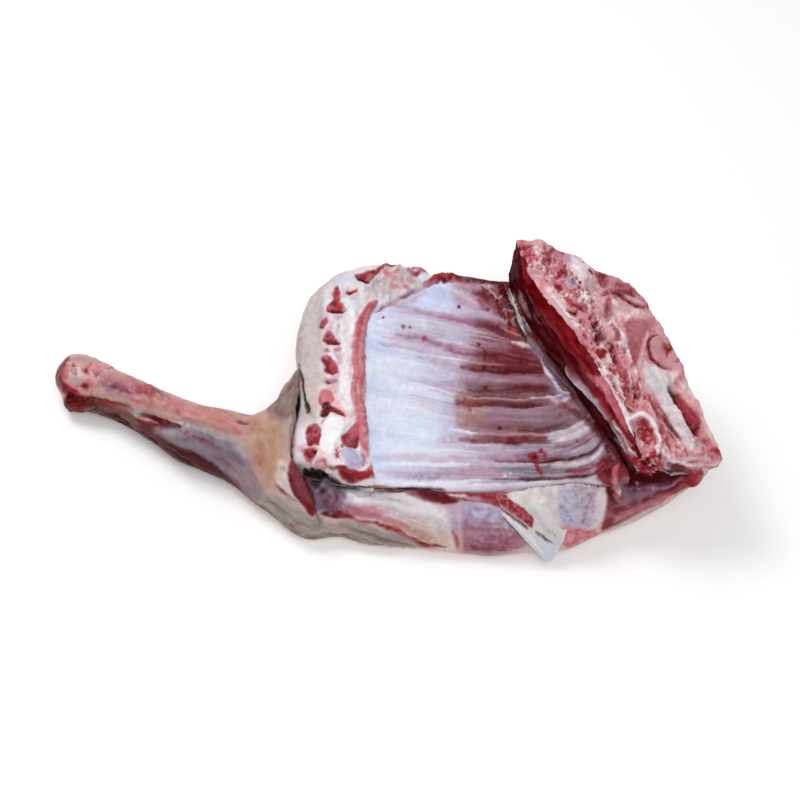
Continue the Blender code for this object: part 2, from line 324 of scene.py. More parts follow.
def rows_of(table):
    """Kind, look and lines of points of every look of every row."""
    for row in filter(None, table.replace("\n ", " ").splitlines()):
        head, _, tail = row.partition("|")
        kind, _, looks = head.partition(" ")
        lines = [np.array([pair.split(",") for pair in part.split()], float)
                 for part in tail.split("/")]
        for look in looks.split("+"):
            yield kind, look, lines


def read_marks(table):
    """The marks of a table: kind, colour, width, softness, cover, lift, grain and path."""
    marks = []
    for seed, (kind, look, lines) in enumerate(rows_of(table)):
        look, _, many = look.partition("*")
        name, *numbers = look.split()
        width, soft, cover, rise, grain = (*map(float, numbers), 0.0, 0.0)[:5]
        rest = (soft * SOFTER, cover, rise, grain)
        many = [float(number) for number in many.split()]
        rng = np.random.default_rng(seed)
        if kind == "strokes":
            for path in strokes(*many, lines, seed):
                size, paler = rng.uniform(*SIZES), rng.uniform(-PALER_STROKE, PALER_STROKE)
                marks.append(("line", COLOUR[name] + paler, width * size, *rest, path))
        elif kind == "dabs":
            for place in strewn(*many, lines[0], seed):
                size = rng.uniform(*SIZES)
                path = smear(place, width, size, rng)
                marks.append(("line", COLOUR[name], width * size, *rest, path))
        else:
            marks.append((kind, COLOUR[name], width, *rest, lines[0]))
    return marks


print(len(read_marks("dabs red 3 2 .5 * 9 | 0,0 9,0 9,9 0,9")), "marks from a row of dabs")

# %% [markdown]
# ## Laying the marks
# A mark covers each place by its distance: fully in the middle, and less over a soft edge.
# A line is thinner at its ends. Before that the places are pushed about by a few steps, so
# that no edge on the meat is smooth, and thin spots let the colour below show through.

# %% How much a mark covers
TAPER = 0.6    # of a line's width, towards its ends


def way_to(place, line):
    """Distance to a broken line, and the share of its length where it is nearest."""
    best = np.full(len(place), 1e9)
    share = np.zeros(len(place))
    steps = np.linalg.norm(np.diff(line, axis=0), axis=1)
    start = np.concatenate([[0], np.cumsum(steps)]) / max(steps.sum(), 1e-9)
    for k, (a, b) in enumerate(zip(line[:-1], line[1:])):
        side = b - a
        t = np.clip((place - a) @ side / max(side @ side, 1e-9), 0, 1)
        away = np.linalg.norm(place - a - t[:, None] * side, axis=1)
        nearer = away < best
        best[nearer] = away[nearer]
        share[nearer] = (start[k] + t * (start[k + 1] - start[k]))[nearer]
    return best, share


def cover_of(place, kind, width, soft, path):
    """How much a mark covers each place, 0..1, and how high its ridge stands there."""
    if kind == "area":
        ring = closed_line(path)
        away, _ = way_to(place, ring)
        away = np.where(inside(place, ring), -away, away) - width / 2
        cover = ease(0.5 - away / soft)
        return cover, cover
    if kind == "dots":
        away = np.linalg.norm(place[:, None] - path[None], axis=2).min(axis=1)
        edge = width / 2
    else:
        count = CLOSED_FINE * (len(path) - 1) + 1
        line = smooth_line(path, np.linspace(0, 1, count)) if len(path) > 2 else path
        away, share = way_to(place, line)
        edge = width / 2 * (1 - TAPER * np.abs(2 * share - 1) ** 3)
    cover = ease(0.5 + (edge - away) / soft)
    return cover, np.clip(1 - (away / (edge + soft / 2)) ** 2, 0, 1)


middle_cover, _ = cover_of(np.array([(5.0, 0.0)]), "line", 2, 1, np.array([(0, 0), (10, 0)]))
print("cover in the middle of a line:", middle_cover)

# %% Painting a table of marks
EDGE_LUMPS = ((9.0, 1.4, 11), (3.4, 0.8, 21), (1.7, 0.55, 31))   # size, push in steps, seed
THIN_SPOTS = 0.34                                               # cover that is lost there
THIN_FIELDS = ((3.0, 51), (1.8, 55), (5.0, 59))                 # size and seed
SIGHT_EDGE, SIGHT_FADE = -0.10, 0.13       # of the cosine to the eye, where marks fade out
GRAIN_SEED, GRAIN_KINDS = 40, 17
REDDER = (0.030, -0.022, -0.018)
PALER = 0.028


def lay_marks(points, normals, colour, table, wobble):
    """Paint a table of marks over the colours; returns colours and lift in mm."""
    place = picture_place(points)
    for size, push, seed in EDGE_LUMPS:
        for axis in (0, 1):
            place[:, axis] += wobble * push * lumps(points, size, seed + axis)
    thin = [1 - THIN_SPOTS * patches(points, size, seed, 0.5, 1.4) for size, seed in THIN_FIELDS]
    facing = ease((normals @ TO_EYE - SIGHT_EDGE) / SIGHT_FADE)
    colour, lift = colour.copy(), np.zeros(len(points))
    for number, (kind, shade, width, soft, cover, rise, grain, path) in enumerate(read_marks(table)):
        reach = width / 2 + soft + 1
        low, high = path.min(axis=0) - reach, path.max(axis=0) + reach
        near = np.flatnonzero(((place > low) & (place < high)).all(axis=1) & (facing > 0.01))
        if not len(near):
            continue
        there, ridge = cover_of(place[near], kind, width, soft, path)
        there = there * facing[near] * thin[number % len(thin)][near]
        broken = 1
        if grain:
            broken = patches(points[near], grain * MM_A_STEP, GRAIN_SEED + number % GRAIN_KINDS,
                             0.5, 1.6)
            there = there * broken
        colour[near] = blend(colour[near], shade, there * cover)
        lift[near] += rise * ridge * facing[near] * broken
    redder = rough_lumps(points, 2.2, 81)[:, None] * REDDER
    paler = PALER * rough_lumps(points, 4.0, 85)[:, None]
    return colour * (1 + redder + paler) + (redder + paler) / 3, lift


# %% [markdown]
# ## Skins
# A slab-like piece is a fine grid on top, whose border is carried down to the border of
# the solid's lower face and closed below. A long piece is a row of rings with closed ends.
# Both end in one mesh with its faces outwards.

# %% Faces of grids and rings
def patch(index, flip=False):
    """Four-sided faces between the neighbours of a grid of vertex numbers."""
    faces = np.stack([index[:-1, :-1], index[:-1, 1:], index[1:, 1:], index[1:, :-1]], -1)
    faces = faces.reshape(-1, 4)
    return faces[:, ::-1] if flip else faces


def fan(ring, middle, flip=False):
    """Triangles from a closed ring of vertex numbers to one middle vertex."""
    after = np.roll(ring, -1)
    faces = np.stack([after, ring, np.full(len(ring), middle)], -1)
    return faces[:, ::-1] if flip else faces


def border(grid):
    """The outer ring of a grid, once round: front, right, rear, left."""
    return np.concatenate([grid[0], grid[1:, -1], grid[-1, -2::-1], grid[-2:0:-1, 0]])


print("faces of a grid of 3 by 4 points:", len(patch(np.arange(12).reshape(3, 4))))

# %% A slab over a grid
ROUND_ROWS = 6     # rows of the top grid that an end's rounding takes
FLOOR_RINGS = 3


def slab(top, under, steps, bulge, sink, rounding=0.0):
    """Points and faces of a piece between a top grid and the border of an under grid.

    The first and last rows of the top grid go down by rounding mm, the rows next to them
    by less, so that the two ends have a soft edge. The side is a ring carried from the
    top's border down to the under border in equal steps, pushed out by bulge times a half
    sine. Below, the ring shrinks to a middle point that lies sink mm lower.
    """
    rows, cols, _ = top.shape
    index = np.arange(rows * cols).reshape(rows, cols)
    from_end = np.minimum(np.arange(rows), np.arange(rows)[::-1])
    top[:, :, 2] -= rounding * (np.clip(1 - from_end / ROUND_ROWS, 0, 1) ** 2)[:, None]
    upper, lower = border(top), border(under)
    middle = lower.mean(axis=0)
    away = (upper - middle) * (1, 1, 0)
    away /= np.linalg.norm(away, axis=1, keepdims=True)
    t = np.linspace(0, 1, steps + 1)[1:, None, None]
    side = upper + (lower - upper) * t + away * bulge * np.sin(np.pi * t)
    shrink = np.linspace(1, 0, FLOOR_RINGS + 2)[1:-1, None, None]
    below = middle - (0, 0, sink) + (lower - middle + (0, 0, sink)) * shrink
    rings = np.concatenate([side, below])
    count = rings.shape[1]
    ring_index = rows * cols + np.arange(rings.shape[0] * count).reshape(-1, count)
    ring_index = np.concatenate([border(index)[None], ring_index])
    around = np.concatenate([ring_index, ring_index[:, :1]], axis=1)
    centre = rows * cols + rings.shape[0] * count
    points = np.concatenate([top.reshape(-1, 3), rings.reshape(-1, 3), (middle - (0, 0, sink))[None]])
    quads = np.concatenate([patch(index), patch(around, flip=True)])
    return points, quads, fan(ring_index[-1], centre)


print("border of a grid of 3 by 4 points:", border(np.arange(12).reshape(3, 4)))

# %% A tube of rings
CAP_SIZE, CAP_DEPTH = 0.55, 0.8    # of the ring inside a closed end


def tube(rings, start_depth=0.0):
    """Points and faces of a row of rings, each end closed by a smaller ring and a point.
    The first end stands out by start_depth mm."""
    count, n, _ = rings.shape
    small, tips = [], []
    for ring, depth, nearer in ((rings[0], start_depth, rings[1]), (rings[-1], 0.0, rings[-2])):
        middle = ring.mean(axis=0)
        out = middle - nearer.mean(axis=0)
        out /= np.linalg.norm(out)
        small.append(middle + (ring - middle) * CAP_SIZE + out * depth * CAP_DEPTH)
        tips.append(middle + out * depth)
    index = np.arange(count * n).reshape(count, n)
    inner = count * n + np.arange(2 * n).reshape(2, n)
    points = np.concatenate([rings.reshape(-1, 3), *small, tips])
    rows = np.concatenate([inner[:1], index, inner[1:]])
    quads = patch(np.concatenate([rows, rows[:, :1]], axis=1), flip=True)
    last = count * n + 2 * n
    triangles = np.concatenate([fan(inner[0], last, flip=True), fan(inner[1], last + 1)])
    return points, quads, triangles


print("faces of a tube of 3 rings of 4:", len(tube(np.random.default_rng(0).random((3, 4, 3)))[1]))

# %% [markdown]
# ## From points to a finished piece
# The mesh is made first, because its normals say which way a mark lifts the surface and
# whether the eye can see it. Then come the marks, the lift and the two things that
# the materials read: the colour `tint` and the map `grain`, which runs in millimetres
# across and along the fibres.

# %% Making a mesh and painting it
ABOVE_FLOOR = 0.05    # mm that nothing goes below


def mesh_from(name, points, quads, triangles):
    """A mesh from arrays of points in mm and of faces."""
    mesh = bpy.data.meshes.new(name)
    corners = np.concatenate([quads.ravel(), triangles.ravel()]).astype(np.int32)
    starts = np.concatenate([4 * np.arange(len(quads)), 4 * len(quads) + 3 * np.arange(len(triangles))])
    mesh.vertices.add(len(points))
    mesh.vertices.foreach_set("co", ((points - CENTRE) * MM).ravel())
    mesh.loops.add(len(corners))
    mesh.loops.foreach_set("vertex_index", corners)
    mesh.polygons.add(len(starts))
    mesh.polygons.foreach_set("loop_start", starts.astype(np.int32))
    mesh.update(calc_edges=True)
    mesh.validate()
    mesh.shade_smooth()
    return mesh


def finish_piece(name, shape, base, table, relief, grain_map, material, nodes, wobble):
    """Paint, lift and place one piece. base gives colours for points and normals, relief
    heights for points, and wobble scales how far the marks' edges stray."""
    points, quads, triangles = shape
    mesh = mesh_from(name, points, quads, triangles)
    normals = np.zeros(len(points) * 3)
    mesh.vertex_normals.foreach_get("vector", normals)
    normals = normals.reshape(-1, 3)
    colour, lift = lay_marks(points, normals, base(points, normals), table, wobble)
    lifted = points + normals * (lift + relief(points))[:, None]
    lifted[:, 2] = np.maximum(lifted[:, 2], ABOVE_FLOOR)
    mesh.vertices.foreach_set("co", ((lifted - CENTRE) * MM).ravel())
    tint = mesh.attributes.new("tint", "FLOAT_COLOR", "POINT")
    opaque = np.ones((len(points), 1))
    tint.data.foreach_set("color", np.concatenate([linear(colour), opaque], 1).ravel())
    corner = np.zeros(len(mesh.loops), np.int32)
    mesh.loops.foreach_get("vertex_index", corner)
    uv = mesh.uv_layers.new(name="grain")
    uv.data.foreach_set("uv", grain_map(points)[corner].ravel())
    mesh.update()
    mesh.materials.append(material)
    piece = bpy.data.objects.new(name, mesh)
    bpy.context.scene.collection.objects.link(piece)
    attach(piece, "root")
    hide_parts(*nodes)
    print(name, len(points), "points,", 2 * len(quads) + len(triangles), "triangles")


# %% [markdown]
# ## Materials
# All the tissues are wet and slightly see-through, so they share a recipe. The painted
# colour is broken up by a mottle and by fine fibres, both multiplied with it. The same two
# patterns drive a shallow bump, and the mottle a change of roughness, because moisture lies
# in the hollows. A thin clear coat with water's index of refraction gives the wet gleam.

# %% One helper and the tissue recipe
WET = {
    "IOR": 1.4, "Coat IOR": 1.33, "Coat Roughness": 0.12,
    "Subsurface Weight": 0.04, "Subsurface Radius": (1.0, 0.35, 0.25), "Subsurface Scale": 1.0 * MM,
}
MOTTLE_RANGE = (0.3, 0.7)    # of the noise, that is stretched to the full change of colour
WET_RANGE = (0.35, 0.65)     # of the noise, that is stretched to the full change of roughness


def add(tree, kind, inputs=None, **settings):
    """Add a node, set its settings, and fill its inputs with values or with other outputs."""
    node = tree.nodes.new(kind)
    for name, value in settings.items():
        setattr(node, name, value)
    for name, value in (inputs or {}).items():
        if isinstance(value, bpy.types.NodeSocket):
            tree.links.new(value, node.inputs[name])
        else:
            node.inputs[name].default_value = value
    return node


def stretched(tree, value, span, low, high):
    """A socket that carries the value's span over to low and high, and stops there."""
    return add(tree, "ShaderNodeMapRange", {"Value": value, "From Min": span[0], "From Max": span[1],
                                            "To Min": low, "To Max": high}).outputs[0]


def tissue(name, roughness, mottle_mm, mottle, fibre_mm, fibre, bump_mm, coat, gleam=0.22):
    """A wet tissue. roughness is a pair; fibre_mm is the size of a fibre across and along;
    mottle and fibre are shares by which they change the colour."""
    material = bpy.data.materials.new(name)
    material.use_nodes = True
    tree = material.node_tree
    shader = tree.nodes["Principled BSDF"]
    place = add(tree, "ShaderNodeTexCoord")
    tint = add(tree, "ShaderNodeAttribute", attribute_name="tint")
    in_mm = add(tree, "ShaderNodeMapping", {"Vector": place.outputs["Object"],
                                            "Scale": (1 / MM, 1 / MM, 1 / MM)})
    spots = add(tree, "ShaderNodeTexNoise", {"Vector": in_mm.outputs[0], "Scale": 1 / mottle_mm,
                                             "Detail": 5, "Roughness": 0.62}).outputs["Fac"]
    fibre_map = add(tree, "ShaderNodeMapping", {"Vector": place.outputs["UV"],
                                                "Scale": (1 / fibre_mm[0], 1 / fibre_mm[1], 1)})
    fibres = add(tree, "ShaderNodeTexNoise", {"Vector": fibre_map.outputs[0], "Scale": 1,
                                              "Detail": 3, "Roughness": 0.55}).outputs["Fac"]
    both = add(tree, "ShaderNodeMath", {
        0: stretched(tree, spots, MOTTLE_RANGE, 1 - mottle, 1 + mottle),
        1: stretched(tree, fibres, MOTTLE_RANGE, 1 - fibre, 1 + fibre)}, operation="MULTIPLY")
    colour = add(tree, "ShaderNodeVectorMath", {0: tint.outputs["Color"], "Scale": both.outputs[0]},
                 operation="SCALE").outputs[0]
    height = add(tree, "ShaderNodeMath", {0: spots, 1: fibres}, operation="ADD")
    bump = add(tree, "ShaderNodeBump", {"Height": height.outputs[0], "Strength": 1.0,
                                        "Distance": bump_mm * MM})
    for socket, value in (("Base Color", colour), ("Specular Tint", colour),
                          ("Normal", bump.outputs[0]),
                          ("Roughness", stretched(tree, spots, WET_RANGE, *roughness))):
        tree.links.new(value, shader.inputs[socket])
    for socket, value in {**WET, "Specular IOR Level": gleam, "Coat Weight": coat}.items():
        shader.inputs[socket].default_value = value
    return material


# %% [markdown]
# ## The lines of the chest
# Five lines run the length of the chest, from its front cut to the neck: the breast's outer
# edge, the seam of breast and ribs, the foot of the backbone, and the two edges of its split
# face. Below each runs its partner on the under side. Every slab is stretched between two.

# %% Key lines of the chest
BREAST_EDGE = [(-70, -62, 46), (-70, -42, 49), (-66, -14, 53), (-67, 14, 57),
               (-69, 40, 60), (-66, 64, 62), (-59, 84, 61), (-44, 103, 58)]
BREAST_INNER = [(-13, -84, 52), (-15, -62, 57), (-19, -37, 60), (-20, 0, 61),
                (-21, 28, 61), (-19, 56, 60), (-12, 82, 60), (-6, 116, 59)]
BACKBONE_FOOT = [(162, -83, 62), (146, -52, 65), (133, -25, 67), (120, 0, 69),
                 (106, 24, 71), (94, 52, 73), (87, 72, 77), (86, 85, 81)]
SPLIT_INNER = [(169, -87, 80), (165, -78, 84), (156, -59, 92), (147, -37, 98),
               (137, -18, 104), (124, 4, 108), (110, 29, 112), (98, 56, 114),
               (90, 83, 118)]
SPLIT_OUTER = [(226, -77, 68), (213, -46, 80), (203, -22, 88), (197, 0, 92),
               (188, 26, 95), (174, 50, 99), (149, 64, 106), (121, 77, 113),
               (103, 84, 118)]
BREAST_CROWN = 5.0
BREAST_DEPTH = (17.0, 24.0)              # of its outer edge, at the front and at the neck
WALL = 12.0                              # thickness of the ribs and the muscle between them
SEAM_EXTRA, FOOT_EXTRA, FOOT_IN = 3, 2, 2
TROUGH_FRONT, TROUGH_REAR, TROUGH_LIP = 17.0, 10.0, 0.14
SPLIT_DEPTH_FRONT, SPLIT_DEPTH_REAR = (24.0, 12.0), (48.0, 42.0)   # inner and outer edge
SPLIT_FOOT = 0.4                         # how far the inner under line lies in from the edge
SPLIT_SLOPE = 2


def key_lines(v):
    """The five key lines of the chest at shares v of its length, and the five below them."""
    breast, inner, foot, split_in, split_out = (
        even_line(line, v) for line in
        (BREAST_EDGE, BREAST_INNER, BACKBONE_FOOT, SPLIT_INNER, SPLIT_OUTER))
    depth = np.outer(1 - v, SPLIT_DEPTH_FRONT) + np.outer(v, SPLIT_DEPTH_REAR)
    under = [breast.copy(), inner - (0, 0, WALL + SEAM_EXTRA), foot + (FOOT_IN, 0, -WALL - FOOT_EXTRA),
             split_in + SPLIT_FOOT * (split_out - split_in), split_out - (SPLIT_SLOPE, 0, 0)]
    under[0][:, 2] -= BREAST_DEPTH[0] * (1 - v) + BREAST_DEPTH[1] * v
    under[3][:, 2] = split_in[:, 2] - depth[:, 0]
    under[4][:, 2] = split_out[:, 2] - depth[:, 1]
    return [breast, inner, foot, split_in, split_out], under


def trough(v, s):
    """Sag of the rib wall: its depth times a skewed half sine, less near the neck."""
    depth = TROUGH_FRONT + (TROUGH_REAR - TROUGH_FRONT) * v
    depth = depth * (1 - 0.8 * ease((v - 1 + TROUGH_LIP) / TROUGH_LIP))
    return depth[:, None] * np.sin(np.pi * s[None, :] ** 0.86) ** 0.9


def cut_side(points, seed):
    """Fat with thin streaks of lean lying flat in it, as a cut through the side shows."""
    lean = patches(points, 8, seed, 0.30, 1.3, (0.4, 0.4, 2.2))
    fine = 0.5 * patches(points, 3.5, seed + 1, 0.35, 1.1, (0.5, 0.5, 3.0))
    return blend(blend(COLOUR["milk"], COLOUR["muscle"], lean), COLOUR["blush"], fine)


def flat_map(points):
    """A fibre map that runs across in x and along in y, in mm."""
    return points[:, :2]


CHEST_ROWS = 280
v = np.linspace(0, 1, CHEST_ROWS)    # v runs along the chest, and s across each piece
top_lines, under_lines = key_lines(v)
print("length of each key line, mm:", [round(run_of(line)[-1]) for line in top_lines])

# %% [markdown]
# ## The rib lining
# The inside of the chest is lined with a thin shiny film. Through it the ribs show pale
# and the muscle between them mauve to dark red, darker towards the backbone. A stretched
# sheet that sags between breastbone and backbone is the plain way to make it, and
# the ribs are drawn as soft ridges along the lines where the photograph shows them.

# %% Marks of the corner that breast and ribs share
CORNER_MARKS = """
area milk 0 6 .95 .3 | 352,302 352,284 362,276 388,260 430,256 456,268 448,280 428,286 404,300
 382,310 366,308
dabs cream 7 5 .55 .4 * 42 | 356,300 366,276 392,264 432,266 424,284 396,298
dabs blush 4 4 .45 -.2 * 48 | 356,300 366,276 392,262 440,266 426,284 396,298
dabs sky 6 5 .40 * 30 + white 4 3 .60 .4 * 42 | 356,300 366,276 392,264 432,266 424,284 396,298
area sky 0 5 .60 | 400,268 412,266 420,270 414,276 402,275
line ash 3 2 .60 -.3 | 374,286 378,278 382,270
line shell 3 2.4 .60 | 366,296 380,292 394,286
line salmon 4 2.4 .75 .5 2 | 382,269 390,264 398,266 404,272
line wine 3 2 .75 -.2 | 388,264 395,266
dots maroon 2.6 1.6 .80 | 398,271 404,265
area salmon 0 2.4 .88 1.2 | 413,269 415,261 425,259 435,265 440,271 428,271 418,271
line blood 3.4 2 .90 .6 | 416,268 426,268 436,270
dots hole 2.4 1.6 .80 | 413,269
area blood 0 2 .94 .9 | 438,271 447,272 458,278 451,283 442,281 434,285 427,287 430,281
area scarlet 0 2 .85 .4 2 | 438,272 446,273 454,278 444,279
dabs clot 2.6 1.6 .70 -.3 * 18 | 430,284 444,274 460,278 448,284
line red 4.4 2.4 .85 .6 | 378,272 386,266 394,264 403,264 412,263
line umber 2.4 2 .70 -.3 | 386,267 394,267
line ash 3.4 2.4 .75 .2 | 399,266 406,266 413,267
area teal 0 3 .50 | 373,280 377,279 378,285 374,286
line salmon 5 4 .50 .2 | 390,276 400,278 408,282
dabs salmon 3 2.4 .55 .3 * 42 | 384,270 404,268 420,276 410,290 392,290
dabs ash 4 3 .45 -.2 * 36 | 366,290 384,276 404,272 420,276 404,292 384,300
line blood 5 2.4 .85 .8 | 408,270 416,275 424,272 434,272
line scarlet 4 2.4 .80 .8 | 424,284 434,279 444,275 452,277
"""

# %% Marks of the rib lining
# Painted light among these marks: the raised white, ice and milk lines along the rib crests are painted
# highlights; the lavender lines in the hollows of the pale left part and the storm line in the hollow
# at the front near the backbone are painted shade; the bark line along the front edge is painted shadow
# where the lining meets the shoulder.
RIB_MARKS = """
area ice 0 22 .60 | 374,330 404,336 440,376 448,400 444,436 420,450 384,452 370,420 370,370
area mist 0 46 .70 | 436,300 480,306 520,330 560,380 606,440 600,476 520,482 450,482 434,440
 430,380 428,330
area haze 0 30 .78 | 460,316 500,326 540,352 580,400 604,440 590,470 530,474 484,472 464,440
 457,400 458,350
area dusk 0 22 .80 | 478,318 512,334 545,362 575,400 592,420 560,430 510,432 474,430 462,412
 466,384 476,350
area ember 0 16 .55 | 496,322 520,338 548,366 560,390 530,396 505,386 496,360
line lavender 12 12 .38 -.5 | 364,343 376,347 392,351
line lavender 12 14 .34 -.3 | 362,386 378,389 400,390
line lavender 12 14 .28 -.2 | 366,430 384,434 410,436
line white 14 12 .55 .4 | 372,324 390,330 410,336
line white 16 14 .60 .5 | 366,364 390,369 420,376
line white 16 14 .60 .4 | 370,404 400,408 436,414
line white 10 9 .50 .4 | 376,450 420,451 460,451
strokes ice 2.4 3 .26 .2 * 34 120 | 378,308 430,316 475,326 515,340 / 372,350 410,357 465,368
 520,374
strokes lilac 2.4 3 .24 -.2 * 34 110 | 378,308 430,316 475,326 / 372,350 410,357 465,368
strokes pink 1.6 2.2 .26 -.1 * 30 90 | 390,308 430,314 475,322 / 380,345 420,352 475,362
strokes wine 2.0 2.0 .38 -.2 * 60 40 | 466,320 490,326 524,340 / 460,366 500,370 545,374
strokes ember 1.6 1.8 .35 -.2 * 30 34 | 486,324 526,342 / 484,366 548,374
strokes ice 2.6 3 .24 .2 * 34 120 + lilac 2.6 3 .16 -.2 * 28 110 | 374,352 410,358 465,370 /
 374,412 420,420 470,432
strokes mauve 1.4 1.6 .26 * 26 80 | 400,356 440,363 480,371 / 400,410 440,417 480,424
strokes brown 1.8 2.2 .36 -.2 * 80 40 | 460,376 500,379 550,382 / 456,428 500,432 545,431 580,418
strokes mauve 2.0 2.2 .40 .25 * 60 50 | 458,376 500,379 556,384 / 456,428 500,432 545,431 580,418
strokes ice 1.8 2.2 .36 .25 * 50 110 | 378,418 455,434 500,438 548,437 590,424 / 384,478 450,480
 520,480 585,474 606,452
strokes haze 1.8 2.0 .34 -.2 * 50 70 | 440,434 500,440 548,439 592,426 / 420,478 500,480 560,478
 606,456
strokes umber 1.4 1.4 .40 -.2 * 50 40 | 484,440 520,440 560,438 594,428 / 490,476 540,476 590,470
 606,450
line umber 12 6 .85 -.4 | 524,330 542,346 558,368 574,392 592,412 606,434 622,460
line maroon 8 5 .80 -.3 | 534,336 552,356 568,382 588,408 604,434
strokes ember 2 1.6 .60 .3 * 40 30 | 526,332 556,366 584,402 616,452 / 536,332 566,366 594,404
 624,452
line mauve 6 4 .75 -.8 | 394,304 412,309 432,314 452,319
line purple 6 4 .70 -.9 | 440,316 460,320 480,324 500,329
line maroon 8 5 .80 -.8 | 478,322 495,326 512,331 526,337
line ice 12 10 .55 1.1 | 388,322 430,330 466,337
line lilac 7 5 .55 .7 | 460,338 482,342 510,348
line slate 8 7 .35 -.3 | 400,325 430,333 464,337
line purple 5 4 .65 -.7 | 398,334 425,339 452,347
line purple 8 5 .75 -.8 | 446,349 468,353 490,356
line ember 10 6 .70 -.8 | 478,353 500,358 525,362 546,366
line white 2.6 2 .85 .9 | 392,346 415,351 440,356 468,362
line shell 2 1.6 .60 .6 | 462,361 485,364 505,364
line mauve 7 5 .50 -.4 | 420,356 440,362 460,366
line ember 8 3 .95 -1.2 | 462,366 480,368 500,370 522,371 541,370
line pitch 4 2.4 .80 -.4 | 484,369 505,371 532,371
line mauve 9 7 .70 .9 | 458,376 490,379 520,380 548,380
line mist 7 6 .60 .8 | 410,371 440,374 476,378
line haze 6 5 .55 -.4 | 410,380 440,384 470,388
line umber 9 5 .70 -.9 | 470,389 500,391 528,390 552,392
line ember 6 4 .60 -.3 | 508,389 530,388 545,389
line white 2.2 1.8 .85 .8 | 372,372 400,381 430,388 458,396
line blush 2 1.6 .80 .8 | 456,396 485,399 515,400 538,399
line white 2.4 1.8 .80 .8 | 530,399 550,397 562,396
line umber 1.6 1.4 .60 -.2 | 470,395 500,397 530,397
line maroon 7 3.4 .90 -1.0 | 457,403 475,404 497,405 520,405 545,403
line pitch 3.4 2.4 .75 -.4 | 506,405 520,406 540,405
area blood 0 3 .70 -.5 2.5 | 456,399 466,398 481,402 482,409 470,411 460,408
line haze 9 6 .70 .8 | 478,411 505,411 530,412 550,409
line mist 8 6 .55 .6 | 430,408 455,412 490,412
area tan 0 5 .50 0 3 | 458,413 472,412 488,417 490,428 470,430 459,426
line brown 10 6 .60 -.8 | 484,426 510,428 545,428 572,418
line umber 6 4 .60 -.4 | 520,429 545,429 566,424
line slate 4 4 .50 -.3 | 520,420 550,421 576,414
line white 3 2.2 .92 .9 | 450,430 462,432 478,434
line blush 3 2.2 .85 .9 | 474,434 500,435 525,435 545,435
line milk 4 3 .85 .9 | 545,435 565,431 580,424 589,416
line storm 3 2.5 .80 -.7 | 550,429 566,426 577,420 582,412
line maroon 8 3.5 .88 -1.0 | 462,440 480,440 505,440 530,439 545,438
line mauve 8 5 .60 -.5 | 440,440 455,440 470,441
line ember 4 3 .50 -.3 | 490,440 510,440 535,439
line white 7 5 .70 .9 | 552,441 568,438 584,431 593,421
line dusk 5 3 .70 -.4 | 556,446 575,442 592,434
line mist 6 5 .55 .7 | 470,449 500,449 530,448 560,450
line blush 6 5 .50 -.4 | 378,457 420,458 470,458
line purple 6 4 .55 -.5 | 480,457 510,457 540,456
line plum 5 4 .50 -.3 | 515,456 545,456 570,452
line pitch 3.4 2 .92 -.9 | 520,461 540,462 560,460 578,457 593,450 602,439
line maroon 3 2 .75 -.4 | 495,461 525,462 555,462
line white 3.4 2.6 .92 1.0 | 384,465 420,465 470,465
line mist 3.4 2.6 .90 .9 | 470,465 510,465 548,465
line milk 5 3.4 .88 1.0 | 552,466 575,464 594,457 606,444
line mauve 11 7 .60 -.5 | 400,474 430,475 460,474 500,473
line blush 8 5 .45 | 380,472 410,474
line dusk 7 5 .45 0 2.5 | 410,478 440,477
line rose 6 5 .40 | 460,471 480,471 500,470
line slate 9 6 .60 -.2 | 500,471 530,472 565,470
line wine 6 3 .70 -.5 | 566,472 585,470 600,462
line bark 3.4 2.4 .80 -.6 | 520,478 545,479 575,477 592,474 606,465
line storm 2.6 2 .70 -.4 | 470,484 500,483 530,481
line white 3 3 .70 .5 | 368,480 400,482 440,483 480,481
area maroon 0 5 .88 | 596,424 608,440 618,452 628,470 616,476 604,474 598,462 606,450 602,436
strokes ember 2 2 .60 .3 * 24 26 | 600,430 614,450 622,472 / 606,430 620,450 628,468
area tan 0 6 .45 0 2.4 | 456,392 478,394 492,410 480,426 458,427
line maroon 4 3 .50 | 470,368 494,371 520,372 540,370
line mist 8 6 .50 | 400,346 420,350 440,355
line mauve 8 6 .35 | 430,326 452,331 474,337
area ice 0 16 .35 | 378,356 410,372 440,394 440,430 408,440 378,430
"""

